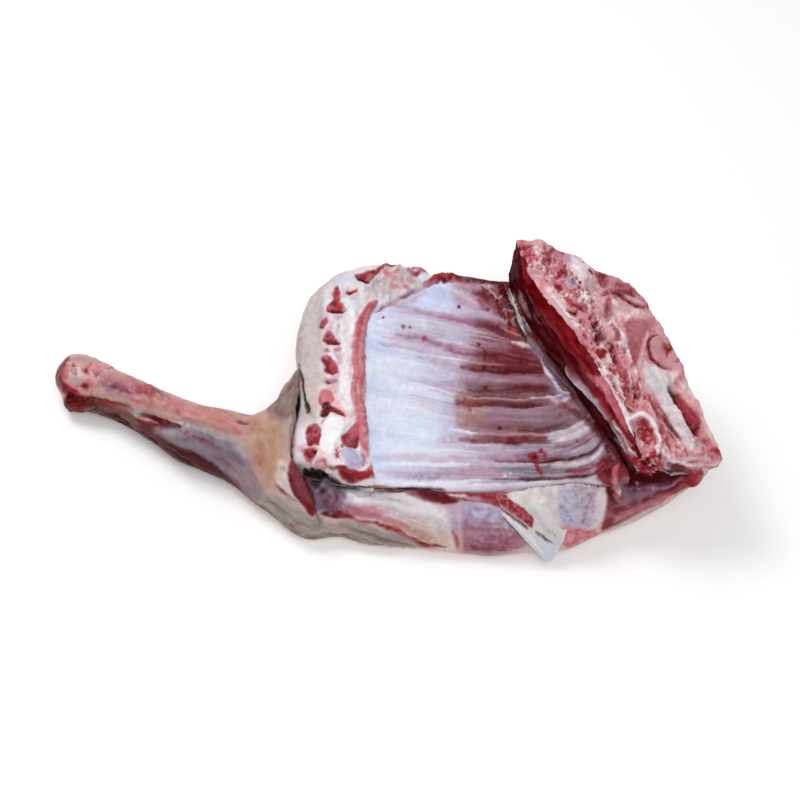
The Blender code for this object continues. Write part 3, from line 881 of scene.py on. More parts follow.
# %% Marks of its torn rear and of its front rim
RIB_REAR_MARKS = """
area wine 0 6 .85 | 478,290 490,296 496,306 500,316 488,310 474,302
area gore 0 5 .88 -.2 | 488,286 502,283 512,300 520,320 524,334 514,330 506,314 498,302
dabs red 4 2.4 .65 .2 2 * 36 | 488,286 502,284 512,300 520,324 508,318 498,302
dabs rust 4 2.4 .55 .3 2 * 24 | 496,290 506,288 514,304 520,326 508,318
area milk 0 3 .80 .8 | 475,286 484,284 493,286 492,291 482,292 476,290
line pitch 5 3 .85 -.6 | 484,292 492,294 498,300
line clot 5 3 .90 -.3 | 462,274 474,277 486,281 500,282 514,282
dabs purple 4 3 .55 -.2 * 36 | 478,292 492,298 496,308 484,308
line salmon 7 3.4 .80 .5 | 454,281 464,283 474,287 482,291
line shell 3 2.4 .75 .4 | 456,285 466,288 476,292
dots scarlet 6 3 .80 .3 | 512,324 513,331
area haze 0 7 .75 | 452,288 470,284 500,288 524,318 520,330 500,314 474,308 456,304
area pitch 0 5 .80 -.3 | 496,276 530,276 540,320 528,318 512,300 500,290
strokes pitch 2 1.6 .60 -.3 * 24 20 | 496,284 508,306 524,330 / 512,280 526,300 536,324
line mauve 4 2.6 .80 -.9 | 376,312 388,305 402,298 414,292 428,285 440,280
line plum 3 2 .65 -.3 | 399,298 406,295 414,290
line plum 2 1.6 .60 -.3 | 378,311 386,306
area mauve 0 7 .55 -.3 | 392,304 410,298 424,290 420,300 404,306
area sky 0 7 .70 .2 | 420,302 432,288 446,286 458,300 450,306 432,306
line white 7 6 .50 .4 | 440,286 452,290 464,297 478,304
line blush 4 3 .60 .3 | 450,292 466,300 478,308
line clot 6 3 .88 .6 | 452,276 475,281 500,282 520,284
line clot 4 2 .80 -.4 | 492,290 497,304 506,320
line ash 4 2 .80 1.0 | 508,294 513,306 519,322 526,336
line sand 3 2 .60 .6 2 | 512,292 518,310 526,326
line milk 4 2.4 .85 1.0 | 512,343 523,345 533,348
line ice 4 2.6 .92 1.2 | 541,357 545,371 552,380 560,391 569,394
line storm 2.5 2 .85 -.6 | 527,341 541,357 552,370 566,384 574,392
line white 4 3 .75 .8 | 548,396 560,402 570,398
line lavender 5 4 .60 | 548,384 556,390 566,400
line wine 4 3 .70 -.3 | 560,402 572,410 582,418
line umber 6 4 .75 -.4 | 574,408 586,420 596,432 606,448
line pitch 4 3 .60 -.4 | 584,414 598,430 610,450
dots clot 3.6 1.4 .92 .2 | 459,307 479,344 499,427
dots blood 4.2 1.6 .92 .2 | 403,327 424,338 486,387
dots blood 3 1.4 .85 .2 | 410,328 471,411 480,407 383,318 577,441
line maroon 2.2 1.4 .80 -.2 | 484,347 485,356 485,362
line clot 3 1.4 .85 -.2 | 484,386 487,389
area blood 0 2 .92 .3 | 528,455 533,452 539,457 538,463 542,472 540,476 535,466 530,460
dots blood 5 1.6 .88 .2 | 541,452 545,456
dots clot 3.4 1.6 .85 -.2 | 535,457 537,470
dots white 2.6 2 .80 .2 | 432,366 505,476 510,473 448,440
line black 3 1.6 .85 -.8 | 503,286 508,300 514,314 520,330 526,342
line fat 3.6 1.8 .85 .8 | 510,290 515,304 520,318 524,332
line gore 4 2 .85 | 498,284 503,298 508,312 512,326
line scarlet 3 2 .70 .3 | 504,284 508,292
dabs clot 3 2 .60 -.3 * 30 | 480,290 500,288 516,320 508,326 492,304
dabs wine 3 2.4 .55 * 36 | 470,290 496,294 506,318 488,312
line ember 5 3 .70 -.3 | 476,293 486,299 494,308
line shell 2.6 2 .70 .4 | 484,287 492,292 498,299
dabs cream 2.4 1.8 .60 .4 * 24 | 488,286 502,292 516,316 508,322 496,304
dabs ember 2.6 2 .55 * 24 | 492,296 504,300 518,330 510,332
line shell 3 2 .60 .4 | 500,326 510,331 520,336
line blush 4 4 .45 | 474,298 482,302 490,306
"""
# The pitch lines along the top of the front side and the umber line along the rim are painted shadow
# where the lining meets the shoulder.
RIB_FRONT_MARKS = """
line white 4 3 .80 | 374,484 400,484 440,486 480,485 500,484
line milk 5 4 .80 | 440,487 480,487 520,484 560,482 598,480
line pitch 3 2 .92 -.6 | 374,489 400,489 430,489 444,490
line pitch 6 3 .80 | 374,494 400,494 430,494 444,494
line umber 2.4 2 .80 -.4 | 492,479 530,479 570,477 604,472 620,468
area maroon 0 4 .92 -.3 | 596,466 608,460 622,464 634,472 634,490 614,488 600,482
dabs red 3 2.4 .60 .3 * 36 | 598,466 622,464 632,474 626,486 606,482
line salmon 7 3 .88 1.2 | 619,464 615,474 615,484 617,492
line blush 4 3 .75 .6 | 616,476 616,486
"""

# %% The rib lining as a sagging sheet
RIB_COLS = 236
REAR_START, REAR_BACK, REAR_DROP, RAGGED = 0.86, 5.0, 1.5, 1.6   # the torn rear edge, mm
FILM_CROWN = 1.3


def rib_sheet(s):
    """The lining's grid: sagging, torn back at the rear, and a little higher than the seams."""
    sheet = between(top_lines[1], top_lines[2], s)
    sheet[:, :, 2] -= trough(v, s)
    rear = ease((v - REAR_START) / (1 - REAR_START))[:, None] * ease((s - 0.2) / 0.2)[None, :]
    ragged = RAGGED * lumps(sheet.reshape(-1, 3) * (1, 0, 0), 7, 71).reshape(rear.shape)
    sheet[:, :, 1] -= rear * (REAR_BACK + ragged)
    sheet[:, :, 2] -= rear * (REAR_DROP + 0.5 * ragged)
    sheet[:, :, 2] += FILM_CROWN * np.sin(np.pi * np.clip(s, 0.02, 0.98))[None, :] ** 0.5
    return sheet


def lining_base(points, normals):
    """Film colour, paler left, mauve right; cut muscle and fat where the sides fall."""
    right = ramp(points[:, 0], 5, 145)
    film = blend(COLOUR["film"], 0.5 * COLOUR["mauve"] + 0.5 * COLOUR["lilac"], right)
    return blend(film, cut_side(points, 5), ramp(normals[:, 2], 0.55, 0.25))


def lining_relief(points):
    """Shallow swells and a fine pucker."""
    return swells(points, ((0.35, 14, 3), (0.12, 3, 4)))


s = np.linspace(0, 1, RIB_COLS)
ribs_under = between(under_lines[1], under_lines[2], s)
ribs_under[:, :, 2] -= trough(v, s)
ribs_shape = slab(rib_sheet(s), ribs_under, steps=14, bulge=0.9, sink=14, rounding=1.6)
# Pleura: a thin, taut, wet film. It gives a smooth gloss that hides all but faint cross fibres.
rib_film = tissue("pleura_over_ribs", roughness=(0.28, 0.46), mottle_mm=2.2, mottle=0.05,
                  fibre_mm=(14.0, 0.9), fibre=0.05, bump_mm=0.16, coat=0.22)
finish_piece("rib_lining", ribs_shape, lining_base,
             RIB_MARKS + CORNER_MARKS + RIB_REAR_MARKS + RIB_FRONT_MARKS, lining_relief, flat_map,
             rib_film, ["rib_wall"], wobble=0.7)

# %% [markdown]
# ## The breast
# The breastbone has been sawn through lengthwise. Its soft red bones show as a row of
# triangles and ovals in white fat, and a thin salmon strip of muscle parts it from the
# ribs. The outer edge is a rounded band of pale fat. It is a crowned bar whose outer
# edge rolls over into its side.

# %% Marks of the breast
# Painted light among these marks: the sky line at the neck end is a cool painted shade, the hole lines
# down the outer edge are painted shade in the slot between breast and shoulder, and the black area, the
# hole line and the bark line at the front end are painted shadow in the recess under the breast.
BREAST_MARKS = """
dabs salmon 3.4 2.4 .55 .2 2 * 60 | 302,446 318,446 330,462 322,470 306,466
dabs blush 3.4 3 .50 -.2 1.6 * 120 | 318,286 350,290 352,318 350,400 336,412 318,408 320,340
dabs blush 5 4 .40 * 72 | 322,300 346,300 350,410 326,400
dabs shell 5 4 .45 * 72 | 326,380 344,380 352,420 340,418 330,404
dabs ice 5 4 .50 .3 * 120 | 326,286 350,290 356,330 350,400 332,396 330,340
dabs blush 4 3 .40 -.2 * 120 | 326,290 350,290 356,330 350,400 322,396 322,340
dabs ash 6 5 .30 * 90 | 302,300 322,286 322,330 318,400 304,412 300,340
dabs blush 5 4 .35 * 72 | 306,300 322,286 322,330 318,410 304,420 302,340
area outer_fat 0 9 .95 | 288,300 306,280 336,262 346,272 326,292 321,322 321,380 318,412 304,424
 288,410 284,350
area ash 0 7 .50 0 4 | 298,312 308,292 322,282 318,310 316,350 316,400 306,410 298,380
line fell 5 4 .60 | 302,312 299,330 298,350 300,372
line fell 4 3 .60 | 305,305 313,291 328,280
line sky 9 6 .60 | 333,286 343,279 356,277
line shell 7 5 .40 | 318,392 314,402 312,412
line grey 4 3 .50 | 323,300 321,318 319,340
line hole 3 1.6 .90 -1.6 | 299,366 301,378 304,392 306,404 307,411
line hole 5 2 .85 -1.4 | 306,403 306,411
line mud 5 4 .45 | 306,408 312,416
area blood 0 1.4 .95 -.7 | 355,274 361,273 367,270 374,271 381,267 380,271 375,277 371,282 367,285
 362,282 358,278
line clot 4 2 .85 -.4 | 357,276 362,280 368,284
line pitch 3 1.6 .70 -.4 | 359,277 364,281
line blood 4 2 .80 .3 | 372,274 377,270 383,266
area red 0 1.4 .95 -.6 | 346,292 350,290 357,289 354,293 350,295 347,294
line clot 3 1.4 .80 -.3 | 348,292 352,293
area red 0 1.4 .97 -.8 | 334,288 338,288 340,294 341,302 347,309 347,312 341,313 333,314 328,311
 329,306 334,300 333,293
line clot 3 2 .80 -.4 | 329,310 334,313 341,312 346,311
line wine 5 3 .55 -.2 | 337,296 337,303 336,309
line salmon 2.5 2 .60 | 333,291 334,299
dots wine 4 2 .60 | 336,288
area blood 0 1.4 .95 -.7 | 320,325 322,321 327,318 328,322 324,328 321,328
dots blush 5 3 .75 | 330,328 338,328
area red 0 1.3 .97 -.8 | 327,331 330,332 334,338 340,343 334,344 326,344 322,341 325,336
line clot 4 2.4 .80 -.4 | 325,340 330,342 337,342
dots clot 4 2.4 .60 -.2 | 328,336
line purple 4 2 .65 | 325,349 329,351
line salmon 4 2 .75 | 334,350 341,348
line mauve 2.5 2 .60 | 334,353 339,359
area red 0 1.4 .95 -.6 | 321,358 325,355 331,358 336,365 338,372 334,374 327,374 323,371 326,366
 323,362
line clot 4 2 .80 -.4 | 323,358 326,363 328,370 333,372
line salmon 2.5 2 .70 | 332,360 336,367 338,373
line purple 5 2.4 .80 -.3 | 325,382 331,381 337,380
dots plum 3.6 1.6 .85 -.2 | 328,382
area salmon 0 2 .92 -.3 | 319,397 323,390 330,390 334,397 334,403 329,403 324,402 319,404
line red 3 2 .70 | 320,397 321,404
area maroon 0 1.4 .97 -1.0 | 323,402 328,401 330,406 336,409 344,414 340,415 334,412 330,412
 327,417 322,417 319,415 321,408
line clot 3 1.6 .80 -.3 | 326,403 325,410 322,416
line blood 3 1.6 .80 -.3 | 331,408 338,411 345,415
line shell 3 2 .60 .3 | 334,406 342,411 349,417
line purple 3 1.6 .80 | 321,424 326,419
area blood 0 1.6 .97 -.5 | 305,432 308,426 315,424 321,428 322,437 318,445 311,447 306,442
line wine 5 3 .70 -.2 | 307,437 312,444 317,442
line shell 2.4 2 .60 .4 | 306,427 311,422 319,424
area blood 0 1.6 .92 -.5 2 | 302,453 308,449 316,448 319,454 315,461 307,462
dots clot 5 2 .85 -.4 | 315,452
line red 4 2.5 .80 | 304,456 309,461
line shell 5 2.4 .90 1.2 | 288,453 295,451 303,447 311,448
line white 3 1.6 .80 .6 | 288,452 292,451
line milk 3 1.6 .90 .8 | 319,452 316,459 313,467
area white 0 2.4 .98 1.2 | 326,420 341,417 344,426 341,438 335,447 331,459 324,459 317,461 316,453
 321,440 323,430
area white 0 3 .90 .6 | 346,300 356,316 350,342 350,380 354,404 346,410 338,396 342,360 341,330
area blush 0 1.6 .95 .8 | 318,459 324,457 329,462 327,468 319,470 314,467
line red 2 1.4 .60 -.3 | 319,461 325,461 327,466
line shell 3 1.6 .90 .8 | 313,469 322,471 333,471
line maroon 3 1.6 .70 -.6 | 329,467 334,469 339,467
dots teal 6 3 .70 | 307,467
line fat 6 3 .80 .6 | 302,461 304,468 312,471
area blood 0 1.8 .95 -.5 | 342,438 349,429 357,423 361,430 358,445 352,449 346,446
area wine 0 3 .60 -.2 | 344,440 350,436 358,436 357,446 348,446
line plum 4 2.4 .55 | 355,432 356,444
line cream 3 1.6 .80 .5 | 343,430 350,422 356,418
area salmon 0 2 .90 0 2 | 334,449 338,445 343,447 342,453 341,460 336,459
line blood 3 2 .70 -.3 | 336,450 338,457
dots clot 4 1.6 .80 -.3 | 343,446
area sky 0 1.8 .97 1.0 | 343,453 348,449 357,450 362,456 363,464 357,469 348,466 343,460
area ice 0 4 .60 .2 | 345,453 350,451 354,455 350,460
line lavender 5 3 .75 | 350,465 357,466 361,461
line storm 2 1.4 .60 -.2 | 360,459 363,466
line mauve 2 1.4 .80 -.3 | 360,451 366,458 368,465
line shell 2 1.4 .70 .3 | 364,459 365,466
area blood 0 1.8 .97 -.3 | 337,466 345,465 351,469 358,471 366,470 373,465 375,470 373,477 362,478
 351,481 344,479 339,473
line clot 4 2.4 .80 -.5 | 340,471 346,476 351,478
line scarlet 3 2 .70 .2 | 352,473 361,474 368,474
line rose 4 2 .80 .6 | 369,467 374,470 372,476
line white 4 2 .90 .8 | 362,480 370,479 378,474
line red 11 3 .90 1.6 | 380,302 371,306 365,316 360,328 358,342 357,356 359,370 358,382 356,394
 359,406 361,418 363,430 364,442 366,454
line rose 8 4 .90 .3 | 377,303 370,308 365,318 360,330 358,343 357,356 359,370 358,382 356,394
 359,406 361,418 363,430 364,442 366,452
line shell 3 3 .60 | 364,322 361,334 360,346 359,358 361,370
line red 3 2.4 .60 -.2 | 371,306 365,312 361,324 357,338 356,352 357,366
line red 2 1.6 .60 -.2 | 358,374 356,388 357,398
line salmon 3 2.4 .55 -.2 | 362,404 364,416 367,428
line salmon 7 4 .85 .5 | 364,424 357,431 351,438
line red 2 2 .50 -.3 | 362,374 361,386 362,398
dabs rose 3 3 .50 .2 * 60 | 352,330 364,330 364,450 370,460 362,450 352,390
dabs shell 3 2 .60 .4 * 24 | 300,444 318,446 330,462 318,470 304,464
area storm 0 4 .90 -.2 | 306,472 326,476 344,485 346,494 320,492 306,486
area black 0 2.4 .95 -1.2 | 303,470 310,468 320,469 327,474 324,479 314,481 305,478
line hole 4 3 .80 -.6 | 322,475 332,481 343,487
line cream 4.4 2.4 .92 .8 | 327,470 334,473 340,479 344,484
area ember 0 2 .92 -.4 | 334,483 341,484 348,487 347,491 338,490
area blood 0 2.4 .94 .8 | 337,466 346,467 356,471 366,472 373,470 373,478 362,480 354,484 346,481
 340,474
line scarlet 3 2 .60 .2 | 350,471 360,475 370,474
line clot 3 2.4 .60 -.3 | 341,470 347,477 354,481
area fat 0 2.4 .92 .4 | 346,486 356,483 366,480 377,479 377,494 356,492
line bark 2.2 1.8 .90 -1 | 342,485 350,488 362,488 376,487
line ash 4 3 .60 | 352,492 364,492 376,491
area lilac 0 3 .75 .5 | 344,449 352,447 359,452 363,460 360,467 352,468 346,462 343,455
line lavender 5 4 .60 .2 | 347,452 352,456 352,463
line dusk 2 1.6 .80 -.3 | 361,454 365,460 364,467
line shell 3 2 .85 .6 | 362,450 368,458 373,468
area blood 0 2.4 .90 .3 | 306,450 313,449 317,453 313,460 307,458
dots clot 3 2 .80 -.4 | 314,453 309,456
line cream 4 2.4 .90 .6 | 303,456 305,464 309,470
line pink 2.4 2 .60 | 350,450 356,456 358,464
line mauve 2 1.6 .60 | 346,458 352,464 358,466
line clot 3 1.8 .70 -.3 | 330,309 336,312 344,311
line wine 4 2 .70 -.2 | 335,300 336,306
line clot 3 1.8 .60 -.2 | 326,341 332,343 338,343
line wine 4 2.4 .60 | 326,360 330,367 334,371
area clot 0 1.6 .85 -.4 | 322,403 327,401 331,404 330,410 324,416 320,416 323,409
line blood 2.6 1.6 .85 -.3 | 330,407 338,410 345,415
line shell 3 2.4 .55 .2 | 353,386 353,404 356,420
dabs shell 2.4 2 .50 .2 * 24 | 356,386 364,386 366,440 360,440
line mist 3 3 .45 | 334,392 342,398 348,404
line mud 2 1.6 .45 -.3 | 318,470 330,466 340,470
"""

# %% The breast as a crowned bar
BREAST_COLS = 100
ROLL_PART, ROLL_DROP, ROLL_OUT = 0.16, 5.0, 1.2   # share of the width that rolls over, and mm
SEAM_TUCK = (0.6, -0.3)                           # of the last line, under the lining


def breast_bar(s):
    """Grid between the outer edge and the seam: a flat half sine, rolled at the outer edge."""
    bar = between(top_lines[0], top_lines[1], s)
    bar[:, :, 2] += BREAST_CROWN * np.sin(np.pi * s)[None, :] ** 0.7
    roll = np.clip(1 - s / ROLL_PART, 0, 1) ** 2
    bar[:, :, 2] -= ROLL_DROP * roll[None, :]
    bar[:, :, 0] -= ROLL_OUT * np.sin(np.pi * np.clip(s / ROLL_PART, 0, 1))[None, :]
    bar[:, -1, 0] += SEAM_TUCK[0]
    bar[:, -1, 2] += SEAM_TUCK[1]
    return bar


def breast_base(points, normals):
    """White fat on top; pale fat with thin lean streaks round the outer side and the neck end."""
    fat = COLOUR["fat"] + 0.03 * rough_lumps(points, 6, 8)[:, None]
    neck_end = 0.8 * ramp(points[:, 1], 70, 100)
    band = blend(COLOUR["outer_fat"], cut_side(points, 9), neck_end)
    return blend(fat, band, ramp(normals[:, 2], 0.5, 0.1))


def breast_relief(points):
    """Soft lobes of fat, and wrinkles of the same size as a lentil."""
    return swells(points, ((0.55, 12, 6), (0.25, 4.5, 7)))


s = np.linspace(0, 1, BREAST_COLS)
breast_shape = slab(breast_bar(s), between(under_lines[0], under_lines[1], s), steps=20,
                    bulge=1.6, sink=6, rounding=2.2)
# Fat over sawn gristle: firm and white, with a satin surface and hardly any fibre.
breast_fat = tissue("breast_fat", roughness=(0.34, 0.55), mottle_mm=2.6, mottle=0.045,
                    fibre_mm=(3.0, 3.0), fibre=0.03, bump_mm=0.22, coat=0.22)
finish_piece("breast_fat", breast_shape, breast_base, CORNER_MARKS + BREAST_MARKS, breast_relief,
             flat_map, breast_fat, ["breastbone"], wobble=0.8)

# %% [markdown]
# ## The dark muscle
# Between the ribs and the split backbone lies a long wedge of very dark muscle, with pale
# strands of sinew along it. Its fibres run with the backbone.

# %% Marks of the dark muscle
# The white dot at 611,417 is a painted glint.
MUSCLE_MARKS = """
strokes pitch 2.6 1.8 .45 -.4 * 90 44 | 520,250 524,290 560,350 600,410 630,462 / 512,290 540,350
 576,396 606,438 622,470
strokes gore 2.4 1.8 .65 .3 * 110 50 | 526,256 534,290 574,340 610,392 640,452 / 518,290 546,340
 580,386 612,440 628,464
strokes blood 2.0 1.6 .60 .3 * 70 46 | 530,270 548,300 584,346 616,398 642,456 / 536,296 566,344
 596,392 622,440
strokes wine 1.8 1.8 .50 .2 * 50 40 | 530,286 560,326 596,376 / 530,310 564,358 604,420
strokes clot 2.2 1.6 .60 -.3 * 60 40 | 526,260 560,320 600,380 630,440 / 520,296 550,350 590,410
 620,460
strokes rose 1.4 1.4 .45 .3 * 26 36 | 560,312 590,348 620,400 640,446 / 572,350 600,390 628,440
area clot 0 4 .80 | 516,236 522,238 524,250 528,266 533,284 524,312 510,306 498,284 508,272
 514,256
line gore 10 6 .80 | 530,286 545,302 560,326 574,348 588,372
line black 6 5 .50 -.6 | 516,264 512,282 516,296
line blood 4 2.4 .85 .6 | 521,240 524,254 527,268 531,284
line pitch 7 6 .45 -.6 | 524,296 540,322 560,352 580,384 600,412 618,440
line bark 7 5 .65 -.4 | 536,296 538,316 550,336 568,358
line ash 3 2 .75 .8 | 515,280 519,294 523,308 531,322
line cream 7 3.4 .85 1.4 | 509,296 513,308 519,322 526,334
line ash 2 1.6 .60 .4 | 524,290 530,304 534,318 540,326
line shell 2 1.6 .50 .4 | 513,292 518,306 524,318
line mud 4 3 .60 .3 | 527,328 540,345 556,362 570,380
line umber 3 2.4 .70 .2 | 545,336 560,354 574,372
line ice 4 2.6 .80 .8 | 527,336 536,346 544,357
line brown 5 4 .55 .3 | 540,330 556,346 570,364 582,380
line wine 6 4 .70 .3 | 566,338 578,356 590,376 600,392
line blood 8 4 .85 .6 | 596,378 602,392 609,406
line scarlet 4 3 .45 | 600,388 606,400
line salmon 8 4.5 .85 .6 | 572,331 581,346 588,362 596,376 604,390
line rose 3 2.4 .70 .3 | 584,346 594,364 602,380 611,398 620,414
line salmon 5 3 .80 .5 | 606,394 614,406 622,420 632,436
line ash 5 2.4 .85 1.6 | 566,366 576,374 588,388 600,404 612,418
line milk 2 1.6 .60 .4 | 574,374 590,392 604,410
line shell 3 2 .85 .9 | 612,418 622,430 634,446
dots white 4 1.6 .95 .6 | 611,417
line maroon 4 3 .70 -.3 | 612,412 624,428 636,444
line bark 7 5 .45 -.3 | 582,392 596,412 610,436 624,460
line rust 4 3 .35 0 3 | 580,392 592,410 604,430
line maroon 5 4 .45 | 568,380 584,404 600,430 616,452
line brown 5 3 .45 0 3 | 586,402 600,424 612,446
line slate 2.4 2 .55 .3 | 616,432 624,444 632,454
line hole 6 4 .80 -.6 | 604,432 614,450 626,468
line ash 2 1.6 .50 .3 | 604,418 612,430
line bark 3 2 .60 -.4 | 546,352 562,372 578,392 590,408
line gore 10 6 .80 | 546,300 562,320 576,340
line blood 4 3 .60 .3 | 546,302 560,318 574,334
line scarlet 5 3 .55 .3 | 570,330 578,338 584,348
line hole 4 3 .80 -.4 | 532,302 537,314 545,326
line teal 2 1.6 .60 .3 | 532,342 545,358 556,374
line pink 5 2.6 .85 .6 | 570,370 578,380 588,392 600,404
line ash 2.4 2 .80 .5 | 571,369 580,380 592,394
line pink 3 2.4 .60 .3 | 590,350 598,368 608,390
dots white 2.4 1.6 .85 .4 | 599,385
area brown 0 6 .75 0 2.4 | 604,432 616,440 628,452 634,468 622,470 612,456
line cream 2.4 2.4 .60 .3 | 612,440 620,450 626,462
strokes blood 2.4 2.2 .55 .3 * 40 40 | 534,290 560,330 590,372 / 546,300 572,336 600,376
area pitch 0 4 .80 -.4 | 616,462 630,466 646,468 662,468 666,484 640,486 616,484
strokes red 2.6 1.8 .70 .3 * 8 16 + umber 3 2 .70 -.3 * 10 16 | 606,440 622,460 636,470 / 622,440
 640,462 656,472
line wine 6 3 .85 .4 | 604,404 613,420 622,436 629,450
line haze 6 3 .85 .8 | 611,417 618,430 626,443 634,456
line ash 2.4 1.6 .80 .6 | 606,417 613,428 621,440 629,452
line white 2.4 1.6 .85 .6 | 616,420 622,432 631,447 637,456
line red 2 1.8 .60 .2 | 600,398 610,414 620,432
strokes gore 2.4 1.8 .60 * 40 40 | 526,286 556,330 590,374 / 548,298 578,334 604,376
line rose 5 3 .70 .3 | 598,376 606,390 613,404
dabs red 3 2 .70 .3 * 18 | 634,458 650,460 658,470 650,476 636,470
dabs shell 2.2 1.8 .70 .4 * 12 | 634,458 650,460 658,470 650,474 636,470
strokes maroon 2.6 2 .55 .2 * 40 50 + brown 2 2 .35 .2 * 30 24 | 524,300 556,346 590,398 / 546,306
 574,346 604,396
area gore 0 3 .85 | 514,240 520,240 526,262 526,286 516,292 511,276 512,256
strokes blood 2 1.8 .60 * 14 10 | 517,242 522,262 528,284 / 520,242 526,258 530,276
line black 3 2 .70 -.4 | 513,262 514,276 518,290
line blood 6 3 .80 .3 | 572,328 580,336 588,350
line haze 5 2.4 .80 .6 | 568,366 578,378 588,391 598,404 608,415
line ash 2.4 2 .75 .6 | 570,367 582,382 594,398 606,413
line umber 3 2.4 .60 -.4 | 564,370 576,385 588,400 600,416
line haze 3 2 .50 .4 | 528,290 533,304 538,318
line clot 2.4 2 .60 -.4 | 562,366 573,381 585,396 597,412
line haze 8 3 .85 .8 | 567,365 578,378 588,391 599,405 611,419
line ash 3.4 2.4 .80 .6 | 569,367 582,382 595,399 608,415
line black 5 5 .40 -.4 | 524,300 540,322 556,342
strokes gore 2.4 2 .40 * 24 40 | 524,300 550,346 574,380 / 546,306 570,346 590,380
"""

# %% The dark muscle as a swelling wedge
MUSCLE_COLS = 84
SWELL, SWELL_UP = 5.0, 0.3                # mm towards the ribs, and share of it upwards
FOOT_TUCK = (-0.8, 0, -0.4)               # of the first line, under the lining
BACKBONE_TURN = math.radians(24)
BUNDLE = 5                                # how much longer than wide a bundle of fibre is


def muscle_wedge(s):
    """Grid from the backbone's foot to its split face, swollen by a half sine, less at the neck."""
    wedge = between(top_lines[2], top_lines[3], s)
    swell = SWELL * np.sin(np.pi * s)[None, :] * (1 - v**4)[:, None]
    wedge[:, :, 0] -= swell
    wedge[:, :, 2] += swell * SWELL_UP
    wedge[:, 0] += FOOT_TUCK
    return wedge


def along_backbone(points):
    """Fibre map turned so that its long way follows the backbone."""
    x, y, turn = points[:, 0], points[:, 1], BACKBONE_TURN
    return np.stack([x * math.cos(turn) + y * math.sin(turn),
                     y * math.cos(turn) - x * math.sin(turn)], -1)


def muscle_base(points, normals):
    """Dark red, brown in patches, blacker towards the neck."""
    colour = blend(COLOUR["clot"], COLOUR["gore"], patches(points, 6, 13, 0.5, 0.8, (1, 0.4, 1)))
    return colour * (1 - 0.25 * ramp(points[:, 1], 20, 80))[:, None]


def muscle_relief(points):
    """Bundles of fibre: lumps stretched along the backbone."""
    across, along = along_backbone(points).T
    bundles = np.stack([across, along / BUNDLE, points[:, 2]], -1)
    return swells(bundles, ((0.6, 4.5, 14), (0.2, 1.8, 15)))


s = np.linspace(0, 1, MUSCLE_COLS)
muscle_shape = slab(muscle_wedge(s), between(under_lines[2], under_lines[3], s), steps=12,
                    bulge=0.4, sink=2)
# Muscle that has stood in the air: nearly black, with long fibres and no film over it.
dark_muscle = tissue("dark_neck_muscle", roughness=(0.34, 0.50), mottle_mm=2.0, mottle=0.12,
                     fibre_mm=(0.7, 9.0), fibre=0.16, bump_mm=0.24, coat=0.0, gleam=0.01)
finish_piece("dark_muscle", muscle_shape, muscle_base, MUSCLE_MARKS, muscle_relief, along_backbone,
             dark_muscle, ["neck_muscle"], wobble=0.8)

# %% [markdown]
# ## The split backbone
# The saw has gone down the middle of the backbone, so its face is a row of spongy red
# vertebrae in white gristle, with torn muscle, fat and one round bone beside them. This
# is the roughest face of the cut, so its marks are pressed deep and most are short smears.

